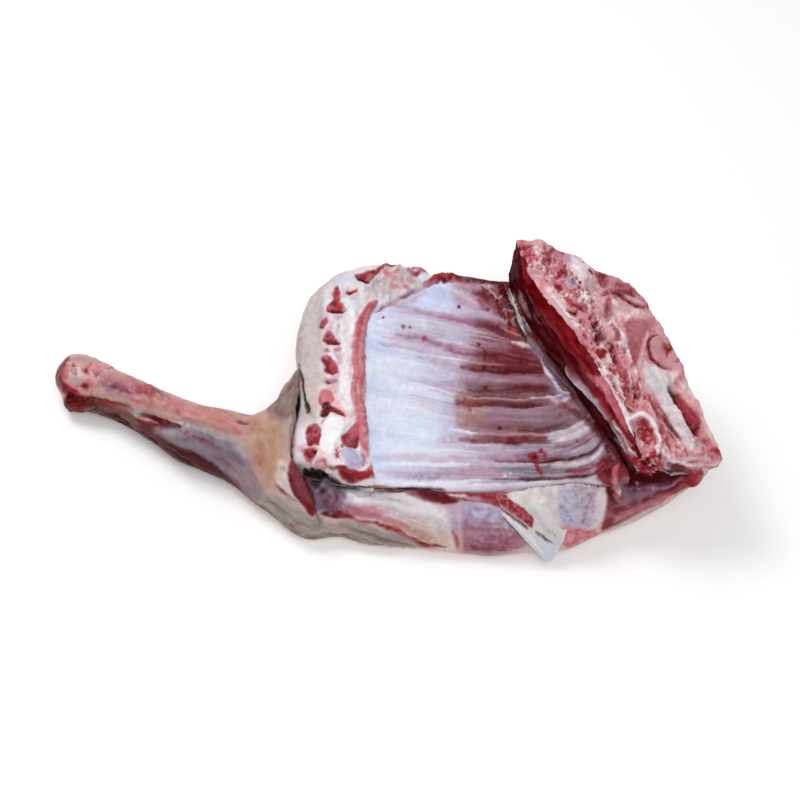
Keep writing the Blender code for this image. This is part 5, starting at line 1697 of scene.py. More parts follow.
# %% Marks of the shoulder and shank
# Painted light among these marks: the black and bark marks under the front end of the breast are
# painted shadow in its recess; the bark, black, storm, umber and clot lines along the front rim of the
# ribs are painted shadow where the lining meets the shoulder; the hole and pitch lines under the front
# end of the backbone are painted shadow in the hollow beneath it; the bark line at the elbow is painted
# shade in a slit; the white, milk and ice dots on the tendon and on the muscle at the right are painted
# glints; the sky and ice mottles on the purple muscle at the front are painted highlights; and the haze
# and mauve strokes on the dark muscle at the right are partly its own colour and partly a painted
# sheen.
MEAT_MARKS = """
strokes rose 2.4 2.2 .35 .2 * 50 60 | 100,364 150,386 200,406 250,416 / 110,396 150,404 200,420
 250,436
strokes muscle 2.2 2.2 .35 -.2 * 60 50 | 96,368 150,390 200,408 240,418 / 110,400 150,412 200,426
 240,438
strokes sand 2.0 2.0 .35 .2 * 40 50 | 110,372 150,390 200,408 250,418 / 110,398 160,410 210,426
 250,440
line beige 14 10 .50 | 120,372 160,396 200,408 240,416
line fell 4 3 .60 | 110,366 130,376 150,386 170,397
line umber 3 2 .70 -.3 | 152,389 164,396 176,401
line fell 4 3 .55 | 180,401 205,409 235,411 262,415
line shank 14 8 .70 .6 | 150,398 175,407 200,416 225,424 240,430
line muscle 8 6 .40 0 3 | 165,402 190,410 215,420
line tan 7 4 .70 .2 | 146,402 154,405
line tan 7 4 .60 .2 | 168,404 180,408
line salmon 6 4 .35 0 2 | 112,380 124,380 134,384
line purple 8 4 .75 -.3 | 103,384 110,386 116,386
line plum 7 3.4 .80 -.4 | 114,385 122,388 130,393
line mauve 8 5 .40 | 112,392 124,397
line red 8 4 .80 .2 | 134,391 144,389 154,393
line blood 4 2.4 .50 | 139,390 150,391
line shank 8 4 .50 | 136,399 148,401
line umber 2.4 2 .85 -.7 | 88,397 104,400 120,404 134,409
line beige 5 3 .70 .3 | 100,393 118,399 130,403
line mud 7 4 .75 | 102,405 118,409 134,416
line wine 3 2 .60 -.2 | 100,403 112,408
line teal 6 3 .75 .6 | 130,408 138,411 143,408
line fat 3 2 .70 .6 | 132,412 138,416
area clot 0 1.8 .95 -2.0 | 140,413 150,414 161,418 172,423 181,426 178,430 166,429 154,425 146,419
line clot 5 2.4 .80 -.4 | 150,422 164,427 176,428
line wine 4 2.4 .80 | 138,419 150,425 158,427
line shell 1.8 1.4 .80 .4 | 138,416 147,420 156,424
line clot 4 2.4 .70 -.3 | 134,420 144,424 154,430
line fat 5 2.4 .85 1.0 | 178,423 188,427 200,432
line ash 5 3 .75 .6 | 152,409 166,413 180,418
line pink 3 2 .70 .4 | 160,413 176,418 190,424
line slate 3 2 .60 -.3 | 176,419 192,424 206,428
area slate 0 8 .75 | 152,431 176,424 204,428 230,436 246,450 256,472 266,498 242,490 224,472
 204,458 180,446 160,440
line ash 7 5 .55 .5 | 200,430 216,434 234,442 246,456
line sky 6 5 .40 .3 | 164,432 176,433
line storm 6 4 .50 | 182,440 194,446 206,452
line lilac 8 5 .40 .4 | 236,444 244,454 250,466
line umber 5 3 .70 -.6 | 194,437 205,443 216,449
line purple 6 3.4 .70 -.3 | 208,446 217,452 222,460
line brown 5 3 .60 -.3 | 220,456 226,462 228,470
line storm 7 4 .65 | 224,442 230,448
line plum 9 4 .50 -.4 | 228,455 236,459 243,464
line storm 8 5 .60 -.3 | 228,455 238,460 244,465
line slate 3 2 .60 .3 | 206,450 214,458 222,470
line rust 8 4 .70 0 2.6 | 210,412 218,414 228,418
line tan 10 6 .60 | 205,414 220,420 234,424
line bark 4 2 .80 -.7 | 237,422 248,424
line storm 4 3 .60 -.3 | 238,412 250,415
area tan 0 16 .60 | 252,422 280,422 288,440 282,462 278,484 262,482 254,460 250,438
line rust 6 5 .30 0 3 | 262,430 258,450 262,466
line beige 10 7 .55 | 244,424 248,440 252,470
line sand 8 6 .40 | 274,430 276,450 272,470
line fell 16 14 .55 | 286,420 292,434 290,452
area mud 0 10 .75 0 4 | 268,404 280,396 296,392 296,408 288,420 272,418
line wine 6 4 .40 0 2.4 | 270,404 277,399 284,396
line fell 8 5 .65 | 288,392 296,380 300,370
line umber 3 2 .60 | 268,411 277,402 288,390 298,374
line umber 3 2 .60 -.5 | 297,384 297,398 296,410
line cream 4 3 .60 .6 | 301,384 303,396 303,408
line slate 5 4 .60 | 297,412 298,428 296,440
line storm 2.4 2 .60 -.5 | 291,428 292,440 294,448
line ash 5 3 .60 .5 | 285,424 286,436
line earth 12 5 .85 | 84,410 100,413 122,421 140,431
line mud 5 3 .70 .2 | 104,407 120,411 136,418
line clot 13 5 .92 | 138,431 154,441 172,455 190,465 208,474 226,484
line pitch 10 4 .88 | 158,449 176,461 194,470 214,480
line bark 7 5 .85 | 150,438 176,450 200,458 214,468 226,477 244,492
line pitch 6 4 .80 | 224,482 244,496 262,508 280,522
line umber 6 5 .60 | 222,474 240,486 258,498
area fell 0 8 .80 | 258,494 276,496 296,504 316,520 350,524 372,530 366,546 344,538 320,540
 300,544 282,528 264,510
line teal 9 7 .55 | 262,496 278,506 290,520
line ash 10 7 .45 .5 | 296,512 304,524 312,532
line bark 3 3 .65 | 282,522 294,534 304,540 318,538
line umber 3 3 .55 | 320,536 340,534 352,542 366,547
line brown 5 3.4 .70 -.6 | 276,487 285,493 295,498 303,501
line umber 3 2 .60 -.4 | 278,489 286,494
area cream 0 2.4 .85 1.0 | 280,461 289,468 290,480 296,492 302,499 294,498 284,490 277,482 277,470
dots grey 5 2.4 .80 -1.0 | 283,470
line ash 3 2.4 .60 | 281,478 287,488
area wine 0 1.8 .95 1.8 | 296,456 300,462 304,473 310,481 316,495 317,508 313,516 308,513 302,503
 292,489 288,478 289,466 293,458
area maroon 0 4 .70 | 291,462 298,464 304,476 308,492 302,498 294,486
line plum 4 3 .45 | 296,472 300,484 306,494
line hole 5 2 .90 -.8 | 294,457 297,462
line blood 4 3 .70 .3 | 302,492 308,504 312,514
line mauve 2.4 1.6 .80 .4 | 308,480 314,492 317,504 316,514
area storm 0 5 .85 | 312,477 326,474 344,484 346,494 338,503 324,510 317,508 316,494
area slate 0 4 .50 .4 2.6 | 318,482 330,480 342,488 334,500 322,502
line ice 3 1.4 .60 .5 | 316,492 322,485 327,480
line lilac 2 1.4 .70 .4 | 319,501 325,494 331,488
line shell 1.8 1.4 .60 .4 | 320,504 328,498
line purple 4 2.4 .70 -.3 | 322,506 330,498 336,496
line black 8 2 .95 -3.0 | 306,474 314,473 322,475
area black 0 2 .95 -3.0 | 305,472 314,469 322,471 327,477 322,481 313,479 308,476
line black 3.4 2 .85 -1.2 | 322,476 331,480 340,484
line bark 2.4 1.8 .85 -1 | 342,485 350,487 362,488
line clot 5 2.4 .80 -.4 | 334,485 342,486 350,483
line blush 3 2 .60 .4 | 338,489 345,488
area clot 0 2 .93 -.3 | 321,515 328,509 337,504 341,506 341,512 353,516 348,519 332,518
line wine 3 2 .60 | 330,512 338,508
area ice 0 6 .80 .6 | 346,492 362,488 386,487 410,497 430,506 452,520 446,532 424,526 400,516
 380,506 356,504
area cream 0 8 .80 .4 | 372,500 400,502 430,512 456,530 456,548 436,546 412,524 388,516
line sky 8 5 .50 0 3 | 350,496 366,494 382,492
line white 3 2 .70 .5 | 342,490 352,496 362,502 374,506
line slate 3 2 .50 -.3 | 362,497 374,494
line ash 4 3 .50 | 388,494 404,504 420,512
area salmon 0 3 .78 0 3 | 344,505 354,509 366,508 374,504 382,512 392,521 378,521 362,517 348,513
line red 5 3 .70 -.3 2.6 | 358,514 368,511 376,514 384,517
line mauve 3 2 .60 | 352,509 362,512
line rose 6 4 .60 | 384,518 394,522 404,520
line white 4 3 .50 .4 | 392,496 400,506 412,514
line red 4 2.4 .85 -.6 | 338,514 350,518 362,522 378,524
line blood 6 2.4 .90 -.8 | 376,524 392,528 406,537 420,543 440,546
area orange 0 4 .88 .8 3.4 | 388,521 404,521 418,526 430,534 440,546 424,543 410,537 398,529
line scarlet 6 4 .55 .3 2 | 404,526 416,530 426,538
line shell 2.4 1.4 .90 .8 | 402,527 406,532 410,536
line clot 3 2 .80 -.5 | 412,540 424,544 446,547
line yellow 5 4 .35 | 426,526 440,540 452,546
line fell 12 5 .80 | 340,524 364,530 386,536 404,541 420,548
line slate 4 3 .60 -.4 | 376,532 390,536 404,541
line umber 4 2.4 .60 | 352,542 370,547 390,546 412,549
line ash 3 2.4 .50 .4 | 350,526 372,534
line bark 2.6 1.6 .90 -1.4 | 344,484 358,486 372,486 386,486 400,488
dots blood 4 1.8 .80 | 372,486 377,485
area maroon 0 1.8 .95 .8 | 390,487 402,486 420,490 438,490 450,496 466,499 452,503 430,502 412,497
 400,492
line black 3 1.8 .85 -1.0 | 394,487 410,489 424,490 440,491
line scarlet 2.4 1.6 .45 .3 | 420,497 436,499 450,500
line shell 5 2 .90 .8 | 448,494 456,496 466,495
line milk 7 4 .85 .6 | 440,486 460,489 480,487
line storm 2 1.4 .80 -.4 | 464,485 478,485 492,484
area blood 0 1.8 .95 1.4 | 466,490 476,489 492,489 505,494 514,501 526,510 533,520 532,528 524,522
 510,511 496,502 480,498 466,497
line clot 3 1.8 .85 -.8 | 464,500 484,501 498,506 512,516 528,529
line salmon 3.4 2 .80 .5 | 484,487 496,490 505,495
line red 4 2.4 .55 .3 2 | 500,499 514,507 526,518
area mauve 0 9 .80 | 452,504 480,501 500,506 514,520 532,538 520,549 496,553 466,553 456,530
area lilac 0 12 .70 .3 | 444,506 484,503 500,508 512,520 490,524 448,526
area purple 0 10 .60 | 464,526 490,524 516,532 528,540 500,548 462,548
line wine 10 9 .60 | 462,547 490,549 516,545
line purple 8 5 .50 0 3 | 470,530 494,530 512,534
line hole 3.4 1.8 .90 -1.2 | 504,519 516,528 526,536 533,543
line fat 4 2 .90 1.0 | 500,509 514,520 528,533 540,546
line shell 3 3 .60 .5 | 460,500 460,520 461,536 461,550
line red 3 2 .80 -.3 | 452,529 456,538 458,546
line ash 4 3 .60 | 470,552 490,554 512,551
line cream 8 4 .85 .6 | 500,483 530,484 560,484 600,484
line umber 2.6 1.6 .80 -.8 | 498,479 530,480 560,479 600,480
area lavender 0 8 .80 .4 | 556,490 590,484 596,496 594,516 586,528 560,528 554,510
area sky 0 5 .50 .3 3 | 558,500 572,498 580,512 574,524 562,520
line purple 9 6 .55 -.3 2.6 | 584,490 592,502 590,520
line storm 4 3 .45 -.2 2 | 562,494 572,506 580,518
area rose 0 6 .85 .3 | 557,530 568,524 584,529 596,530 599,536 584,539 568,546 561,538
line orange 6 4 .60 .2 2.6 | 572,532 584,533 592,534
line clot 3 2 .50 -.2 | 560,530 564,538
line milk 13 3 .93 .8 | 604,482 602,498 597,512 590,528
line ash 3 2 .50 -.3 | 596,488 592,512 584,530
area wine 0 4 .90 | 606,486 620,482 640,480 690,476 692,484 664,497 640,511 620,522 603,531
 602,524 606,506
area storm 0 3 .88 .4 | 622,481 640,478 662,478 652,490 634,500 622,497
area purple 0 4 .70 0 3 | 608,498 622,496 640,500 624,512 610,512
line maroon 8 4 .75 0 2.6 | 612,517 636,505 662,492 688,482
line hole 5 2.4 .90 -1.4 | 622,481 640,480 660,477 684,473
line clot 6 3 .80 -.6 | 606,484 610,496 616,502
dots white 3 1.4 .92 .2 | 636,482 637,486
dots milk 3 1.6 .85 .2 | 652,486
line blush 9 2.4 .92 2.6 | 618,468 614,478 616,488 618,494
line orange 5 3 .60 .4 | 616,470 612,480
dots white 5.4 1.8 .92 1.0 | 618,491
line teal 7 3 .75 .3 | 612,527 632,518 650,508 662,501
line cream 3 2 .60 .3 | 618,526 640,516 656,507
strokes slate 2.6 2.8 .34 .2 * 40 44 | 160,434 200,432 240,446 262,480 / 180,444 210,460 236,484
 260,500
strokes purple 2.4 2.8 .18 -.2 * 40 36 | 170,434 204,436 240,450 262,484 / 180,446 210,462 236,486
 260,502
strokes sand 4 5 .12 * 30 36 | 252,420 252,450 262,486 / 282,424 284,450 276,484
strokes cream 2.6 2.8 .22 .2 * 50 36 | 262,496 300,516 340,528 400,546 / 268,510 300,536 340,534
 420,548
strokes brown 2.0 2.6 .20 -.3 * 40 30 | 262,496 300,514 340,526 400,544 / 268,510 300,536 340,534
 420,548
strokes white 2.2 2.4 .34 .3 * 40 50 | 344,492 390,494 440,514 / 350,508 400,520 450,540
strokes blush 2.0 2.4 .35 -.2 * 40 40 | 350,500 400,510 450,530 / 350,512 400,526 450,546
strokes mauve 1.6 1.8 .35 * 30 40 | 350,490 400,494 450,508 / 356,504 410,514 456,530
strokes plum 1.8 2.6 .30 * 30 22 | 462,522 500,524 530,538 / 464,548 500,550 524,546
strokes mauve 1.8 2.6 .30 * 26 20 | 462,520 500,528 528,538 / 464,550 500,552 524,546
strokes sky 1.8 2.6 .26 * 26 20 | 462,504 490,502 520,526 / 462,528 490,530 520,536
strokes clot 2.0 2.2 .40 -.2 * 60 30 + muscle 1.8 2.0 .45 .2 * 40 24 | 606,512 650,492 690,478 /
 606,530 650,508 684,486
strokes mauve 1.8 2.0 .40 .2 * 40 24 | 612,488 650,484 680,480 / 612,508 650,494 676,484
strokes maroon 1.8 1.6 .50 -.2 * 40 20 | 290,462 292,484 312,512 / 298,458 306,476 316,506
dabs mauve 4 4 .35 -.2 * 72 | 96,372 140,388 150,396 120,398
dabs shell 2.6 2.4 .45 .3 * 90 + muscle 3 3 .35 -.2 * 90 | 96,366 150,388 200,408 240,420 200,418
 150,404 100,390
dabs maroon 2.4 2 .50 -.3 1.6 * 48 | 130,412 160,416 190,424 220,440 200,444 160,430
dabs sand 7 7 .20 .2 * 42 | 246,420 282,420 290,450 276,484 256,470
dabs rust 6 7 .16 -.2 * 30 | 250,424 280,424 284,450 274,476 258,462
dabs white 2.2 2 .50 .3 * 90 | 344,490 400,492 452,510 452,540 410,526 356,508
dabs sky 4 4 .35 .2 * 42 + white 3 3 .50 .3 * 42 | 504,484 552,486 552,540 520,516
dabs plum 2.4 2 .50 -.2 * 72 | 574,486 594,488 594,520 580,526
dabs lilac 2.6 2.4 .50 .2 * 60 | 556,488 576,488 580,524 560,526
dabs storm 2 1.8 .45 -.2 * 42 | 558,490 576,490 580,520 562,522
area sky 0 8 .40 .2 | 466,508 484,506 496,512 484,518 468,518
dabs plum 2.4 3 .26 * 120 | 464,508 496,508 524,532 516,542 466,542
dabs ice 2 2.6 .22 .1 * 90 | 464,506 496,508 520,526 508,534 466,532
dabs rose 2.4 2.4 .40 .2 * 72 | 464,530 500,530 526,540 510,548 466,548
dabs red 4 4 .45 -.2 2 * 48 | 558,528 596,532 590,540 566,546
dabs cream 5 5 .35 .3 * 48 | 556,486 598,486 592,512 560,520
line maroon 5 5 .55 -.3 | 326,506 336,510 344,512
strokes purple 2.2 2.6 .50 -.2 * 20 30 | 322,486 350,504 392,522 / 320,504 350,514 380,522
strokes lilac 2.0 2.4 .50 .3 * 20 30 | 320,484 350,500 396,516 / 318,502 346,512 380,520
dabs mud 3 3 .40 -.2 * 42 | 322,496 346,500 348,512 330,514
area outer_fat 0 10 .50 | 396,508 440,520 452,532 448,542 424,534 400,522
dabs sand 4 4 .35 .2 * 48 | 396,516 450,534 450,546 420,542
line slate 5 5 .40 | 620,486 640,484 664,480
line dusk 6 6 .55 | 622,492 642,494 662,488
dabs mauve 3 3 .40 .2 * 60 | 612,488 660,482 668,488 630,508
line ash 5 4 .65 .3 | 636,522 652,514 668,502
area fat 0 5 .80 .3 | 500,484 556,484 556,500 558,516 560,530 548,530 534,516 520,500 506,490
area fat 0 8 .60 .3 | 388,492 410,494 436,502 450,514 440,522 416,512 394,504
dabs white 4 4 .40 .2 * 48 + ash 5 5 .35 * 36 | 506,486 554,486 556,528 530,512
line outer_fat 5 5 .60 | 548,488 552,506 558,524
line clot 4 2.4 .90 -.6 | 344,487 366,489 388,489 400,490
line maroon 8 3 .90 .6 | 404,491 420,495 438,498 456,500
area rose 0 6 .50 .3 | 614,518 640,508 668,494 676,496 650,510 624,522
line blood 5 2.4 .90 .8 | 480,496 494,501 506,508 518,519
strokes haze 3 3 .40 * 14 24 | 446,504 470,514 500,534 / 450,526 470,540 500,550
area blood 0 2.4 .92 1.6 | 687,468 694,465 701,467 701,477 694,486 687,484 684,476
line red 3 2 .80 .4 | 692,472 694,481
line pitch 5 3 .90 -1 | 624,483 640,481 660,478 678,473 690,469
strokes clot 3 2 .70 -.4 * 20 14 | 618,484 650,482 688,472 / 620,494 652,488 686,478
strokes haze 2 2 .50 .3 * 16 16 | 624,486 650,484 676,478 / 624,500 648,494 670,486
dots ice 2.6 1.6 .90 .3 | 637,484 638,489 652,487
line mauve 5 4 .40 | 318,488 330,484 342,490
area fell 0 8 .60 | 264,496 296,508 330,528 380,536 396,546 350,548 300,544 280,526
strokes umber 2 2.4 .35 -.3 * 30 20 + ash 2.4 2.4 .40 .3 * 30 20 | 264,498 300,520 350,532 396,546
 / 270,512 300,538 350,542 400,548
strokes clot 2.4 2.0 .60 -.2 * 50 36 | 140,428 180,456 240,490 / 136,434 180,468 240,498
strokes umber 1.8 1.8 .55 -.3 * 40 20 + mud 1.8 1.8 .60 .2 * 40 18 | 84,404 110,408 140,422 /
 84,412 110,418 140,434
line slate 7 4 .60 .4 | 134,410 142,412 150,414
line slate 8 5 .60 .4 | 172,440 182,441 192,444
line slate 6 5 .60 .4 | 194,449 202,452 208,458
area mud 0 8 .70 | 268,406 280,396 292,384 300,372 302,386 298,404 290,418 274,420
strokes umber 2 2 .50 -.3 * 14 16 + fell 2.4 2.4 .50 .2 * 14 16 | 270,410 284,396 300,372 /
 280,422 294,414 302,392
area storm 0 5 .70 | 312,478 330,482 346,492 340,504 324,512 316,500
area dusk 0 6 .50 | 318,488 334,490 344,498 332,508 320,508
line ice 3 1.8 .75 .5 | 316,492 321,486 325,481
line lilac 3 2 .50 .4 | 322,500 330,490 336,486
line fell 8 5 .80 | 317,518 317,526 318,534
area salmon 0 4 .60 | 344,508 360,506 376,508 384,516 366,518 350,514
line teal 5 3.4 .60 | 352,493 366,492 380,492
line haze 4 3 .60 | 358,498 366,496 372,500
line shell 3 3 .60 .3 | 457,506 459,522 461,536 462,549
line red 2.4 2.4 .55 | 452,530 455,540 457,548
area mud 0 6 .55 | 270,404 282,394 294,380 300,376 300,396 292,412 280,418
line umber 3 3 .60 -.3 | 276,404 284,397 292,386
line pitch 7 5 .60 | 311,480 318,486 322,494
strokes plum 2.4 2 .50 * 14 16 | 316,482 322,494 318,508 / 334,486 340,496 330,508
strokes haze 2.6 2 .50 .2 * 12 12 | 320,484 330,494 326,508 / 338,488 346,498 338,506
strokes wine 2.6 2 .50 * 24 16 | 290,464 294,486 310,510 / 300,464 308,480 316,500
area mauve 0 4 .30 | 291,462 298,464 306,480 314,500 308,502 296,486
area plum 0 5 .45 | 626,486 650,482 676,476 672,486 650,500 628,502
line blush 6 5 .45 .2 | 616,520 640,510 668,495
area fat 0 6 .55 .2 | 360,492 400,494 432,504 444,518 404,512 370,503
line salmon 3 2.4 .50 .2 | 112,378 124,382 136,385
strokes rose 2.4 2.4 .35 .2 * 30 24 | 150,390 200,408 250,420 / 150,400 200,416 250,432
line sand 4 3 .50 | 200,412 224,417 244,420
area fell 0 6 .50 | 272,408 284,396 296,382 300,390 290,410
line storm 4 4 .50 -.2 | 206,444 222,452 236,462
line slate 4 3 .60 .3 | 196,452 214,462 234,474
line purple 6 3.4 .60 -.2 | 103,383 108,386 114,387
line plum 6 3 .65 -.2 | 112,386 120,388 129,392
line mauve 4 3 .55 .2 | 104,391 114,393 124,396
line red 5 3.4 .45 | 136,390 144,389 152,391
line earth 5 3 .70 | 96,403 110,408 124,414 136,420
line bark 3 2.4 .55 -.3 | 92,409 106,414 120,421 134,430
strokes umber 2 2 .50 -.2 * 24 14 | 100,408 120,416 140,428 / 100,414 120,424 140,436
line blood 3 2.4 .60 | 96,400 110,403 124,407 134,411
area clot 0 4 .45 | 152,446 176,460 204,472 222,480 214,482 190,474 164,460
strokes pitch 2.4 2 .45 * 16 24 | 160,450 190,466 222,478 / 168,460 196,474 222,482
strokes mud 2.4 2.4 .40 .2 * 24 20 | 276,372 270,396 268,420 / 300,372 298,396 296,420
strokes fell 2.4 2.4 .50 .2 * 20 22 | 276,380 270,400 270,416 / 298,376 296,396 294,416
line slate 3 3 .55 -.2 | 188,428 204,436 220,446 232,458
line ash 3 2.4 .55 .3 | 186,424 202,430 218,438
strokes slate 2 2 .25 .2 * 14 26 | 342,488 372,500 404,512 / 350,482 384,492 420,502
strokes teal 2 2 .25 * 12 24 | 346,490 380,500 410,508 / 350,484 390,494 420,502
area milk 0 6 .45 | 356,486 392,488 424,500 404,510 368,504
area mist 0 5 .45 | 572,500 590,496 600,508 596,526 578,528
"""

# %% The shoulder and shank as one ringed body
KNUCKLE_END = 2.6                         # stations
RING, MEAT_ROWS = 208, 466
SPINE_RING, SPINE_STEPS = 48, 800
MEAT_OVER, LIP_IN, LIP_ROWS = 0.02, 0.05, 5    # share past the solid; drawn in at the first rows


def swollen(rings, over):
    """Rings grown about their middles by a share, and kept on the floor."""
    middles = rings.mean(axis=1, keepdims=True)
    rings = middles + (rings - middles) * (1 + over)
    rings[:, :, 2] = np.maximum(rings[:, :, 2], 0)
    return rings


def meat_rings():
    """Rings at equal steps along the body's middle line, with the bed pressed in."""
    fine = np.linspace(KNUCKLE_END, len(STATIONS) - 1, SPINE_STEPS)
    run = run_of(section_rings(fine, SPINE_RING).mean(axis=1))
    where = np.interp(np.linspace(0, run[-1], MEAT_ROWS), run, fine)
    lip = np.clip(1 - np.arange(MEAT_ROWS) / LIP_ROWS, 0, 1) ** 2
    return held_down(swollen(section_rings(where, RING), MEAT_OVER - LIP_IN * lip[:, None, None]))


def shank_skin(points, normals):
    """Pink, browner below, dark red low on the front."""
    skin = blend(COLOUR["shank"], COLOUR["mud"], 0.5 * ramp(-normals[:, 2], 0.1, 0.5))
    skin = blend(skin, COLOUR["sand"], 0.4 * patches(points, 7, 36, 0.3, 1.2, (0.5, 1, 1)))
    low = ramp(normals[:, 2], 0.5, 0.1)
    front = ramp(normals[:, 1], 0.1, -0.4)
    elbow = ramp(points[:, 0], -108, -132)
    return blend(skin, COLOUR["clot"], 0.85 * low * front * elbow)


def meat_base(points, normals):
    """Pink shank, cream front; fell with faint lean under it behind and below."""
    patchy = patches(points, 26, 31, 0.4, 1.1, (0.6, 1, 1))
    streaks = patches(points, 6, 32, 0.2, 1.0, (0.35, 1, 1))
    fell = blend(COLOUR["cream"], COLOUR["blush"], 0.75 * patchy)
    fell = blend(fell, COLOUR["knuckle"], 0.4 * streaks)
    front = 0.6 * COLOUR["cream"] + 0.4 * COLOUR["blush"]
    body = blend(fell, front, ramp(normals @ TO_EYE, 0, 0.4))
    return blend(shank_skin(points, normals), body, ramp(points[:, 0], -110, -60))


def above_table(points, layers):
    """Swells that are none where the meat rests on the table, and full from 4 mm up."""
    return ramp(points[:, 2], 0, 4) * swells(points, layers)


def meat_relief(points):
    """Long swells of muscle and small folds of fell."""
    return above_table(points, ((0.9, 22, 33), (0.4, 8, 34), (0.15, 3, 35)))


def ring_map(shape, rings):
    """Fibre map of a ringed body: round each ring and along the row of rings, in mm."""
    round_mm = np.cumsum(np.linalg.norm(np.diff(rings, axis=1, prepend=rings[:, :1]), axis=2), axis=1)
    along_mm = run_of(rings.mean(axis=1))
    uv = np.stack([round_mm, np.broadcast_to(along_mm[:, None], round_mm.shape)], -1).reshape(-1, 2)
    full = np.concatenate([uv, np.repeat(uv[:1], len(shape[0]) - len(uv), axis=0)])
    return lambda points: full


meat = meat_rings()
meat_shape = tube(meat)
# Lean under a thin skin of fell: soft sheen, fibres that run along the limb.
lean = tissue("lean_under_fell", roughness=(0.32, 0.50), mottle_mm=2.4, mottle=0.06,
              fibre_mm=(1.1, 10.0), fibre=0.07, bump_mm=0.26, coat=0.08, gleam=0.13)
finish_piece("shoulder_meat", meat_shape, meat_base, MEAT_MARKS, meat_relief,
             ring_map(meat_shape, meat), lean, ["shoulder"], wobble=0.9)

# %% [markdown]
# ## The knuckle
# At the end of the shank the bone is bare: pink gristle with a few blood spots, a dark
# rim where the joint was cut and a dark stub below.

# %% Marks of the knuckle
KNUCKLE_MARKS = """
line grey 4 3 .60 | 68,360 84,360 100,361 114,367
line clot 6 3 .92 | 68,359 61,366 57,375 59,384 66,392 72,397
line red 7 4 .70 .2 2 | 66,363 62,370 62,380
line blood 5 2.4 .85 | 64,384 70,388 77,392
line rose 4 2 .70 .4 | 64,380 69,384 76,388
line ash 9 4 .75 .3 | 67,371 72,374 69,381
line white 4 3 .50 .2 | 68,371 71,376
line teal 6 3 .70 -.3 | 77,377 79,382
line blush 8 5 .60 .2 | 80,373 90,376 98,378
dots clot 3.6 1.4 .90 -.3 | 73,366
dots maroon 4 2 .75 -.2 | 86,371
area blood 0 3 .85 .2 | 80,384 86,381 91,385 86,389
dots clot 4.6 2 .75 | 85,385
line salmon 9 4 .70 .2 | 90,381 95,385
line rose 9 5 .60 .2 | 97,370 106,368 114,371
line blood 3.4 1.4 .88 -.2 | 96,376 101,373 106,371
dots clot 3 1.4 .80 -.2 | 104,372
line fat 5 3 .60 .3 | 100,378 108,378
line beige 5 3 .60 | 80,391 92,393
area ember 0 2.4 .95 1.2 | 67,393 74,394 84,395 96,397 110,400 104,405 94,408 82,411 71,411 67,405
line wine 5 3 .60 .3 2.4 | 74,404 88,405 100,404
line mauve 6 4 .45 | 102,386 110,390
dabs blood 3 2.4 .50 -.2 1.6 * 42 | 62,366 80,362 110,366 130,384 110,392 78,390
dabs shell 3 2.4 .60 .3 * 48 | 66,366 84,362 112,368 132,386 112,394 80,388
dabs clot 3 2.4 .60 -.3 2 * 42 + red 3 2.4 .50 .3 2 * 30 | 68,394 84,396 108,400 104,406 72,410
area gore 0 3 .92 1.0 | 66,391 74,393 84,396 90,400 94,405 84,410 71,411 66,404
line red 4 3 .80 .4 | 70,404 78,406 86,405
line wine 3 2.4 .60 .3 | 86,395 94,397 102,400
line black 3 3 .55 -.4 | 70,396 78,399
dots white 5 3 .70 .3 | 80,375 78,371
dots shell 9 5 .60 .3 | 94,377 102,383
line shell 7 4 .60 .3 | 96,366 106,369 116,374
line red 4 3 .70 | 60,366 58,374 60,382
line blood 5 3 .75 | 62,386 70,390 78,393
area earth 0 3 .80 | 88,398 100,399 104,406 96,412 87,409
line clot 3.4 2.4 .75 -.2 | 66,361 61,367 59,374 61,382 65,388
line red 3 2.4 .80 | 63,369 62,375 64,380
line salmon 4 2.4 .70 .3 | 68,364 66,370 66,378
line blood 2.8 1.8 .85 -.3 | 96,377 100,374 104,372 106,370
line clot 2.4 1.6 .75 -.3 | 103,372 107,372 110,374
line shell 4 2.4 .75 .4 | 98,381 104,379 108,378
line rose 5 3 .60 .3 | 92,371 98,368 106,367 113,372
line wine 3 2.4 .55 -.2 | 82,369 87,372 90,374
line teal 5 3 .55 | 77,376 80,382 78,386
line blood 4 3 .70 .2 | 82,385 88,384
line gore 3 2.4 .70 | 70,392 76,396 84,398
"""

# %% The knuckle as the first rings of the shank
KNUCKLE_RING, TIP_ROWS, KNUCKLE_ROWS = 180, 24, 68
TIP_END, OVERLAP = 0.5, 0.12              # stations
KNUCKLE_OVER, TUCK_IN, TUCK = 0.015, 0.02, 0.1
TIP_DEPTH = 2.0

knuckle_where = np.concatenate([
    np.linspace(0, TIP_END, TIP_ROWS), np.linspace(TIP_END, KNUCKLE_END + OVERLAP, KNUCKLE_ROWS)[1:]])
tuck = ramp(knuckle_where, KNUCKLE_END - TUCK, KNUCKLE_END)[:, None, None]
knuckle = swollen(section_rings(knuckle_where, KNUCKLE_RING), KNUCKLE_OVER - TUCK_IN * tuck)
knuckle_shape = tube(knuckle, start_depth=TIP_DEPTH)


def knuckle_base(points, normals):
    """Pink gristle, browner below, that turns into the skin of the shank."""
    bare = blend(COLOUR["knuckle"], COLOUR["mud"], 0.6 * ramp(normals[:, 2], 0.2, -0.4))
    end = knuckle[:, :, 0].max()
    return blend(bare, shank_skin(points, normals), ramp(points[:, 0], end - 26, end - 6))


def knuckle_relief(points):
    """The two heads of the joint and small knobs."""
    return above_table(points, ((0.9, 13, 43), (0.35, 4, 44)))


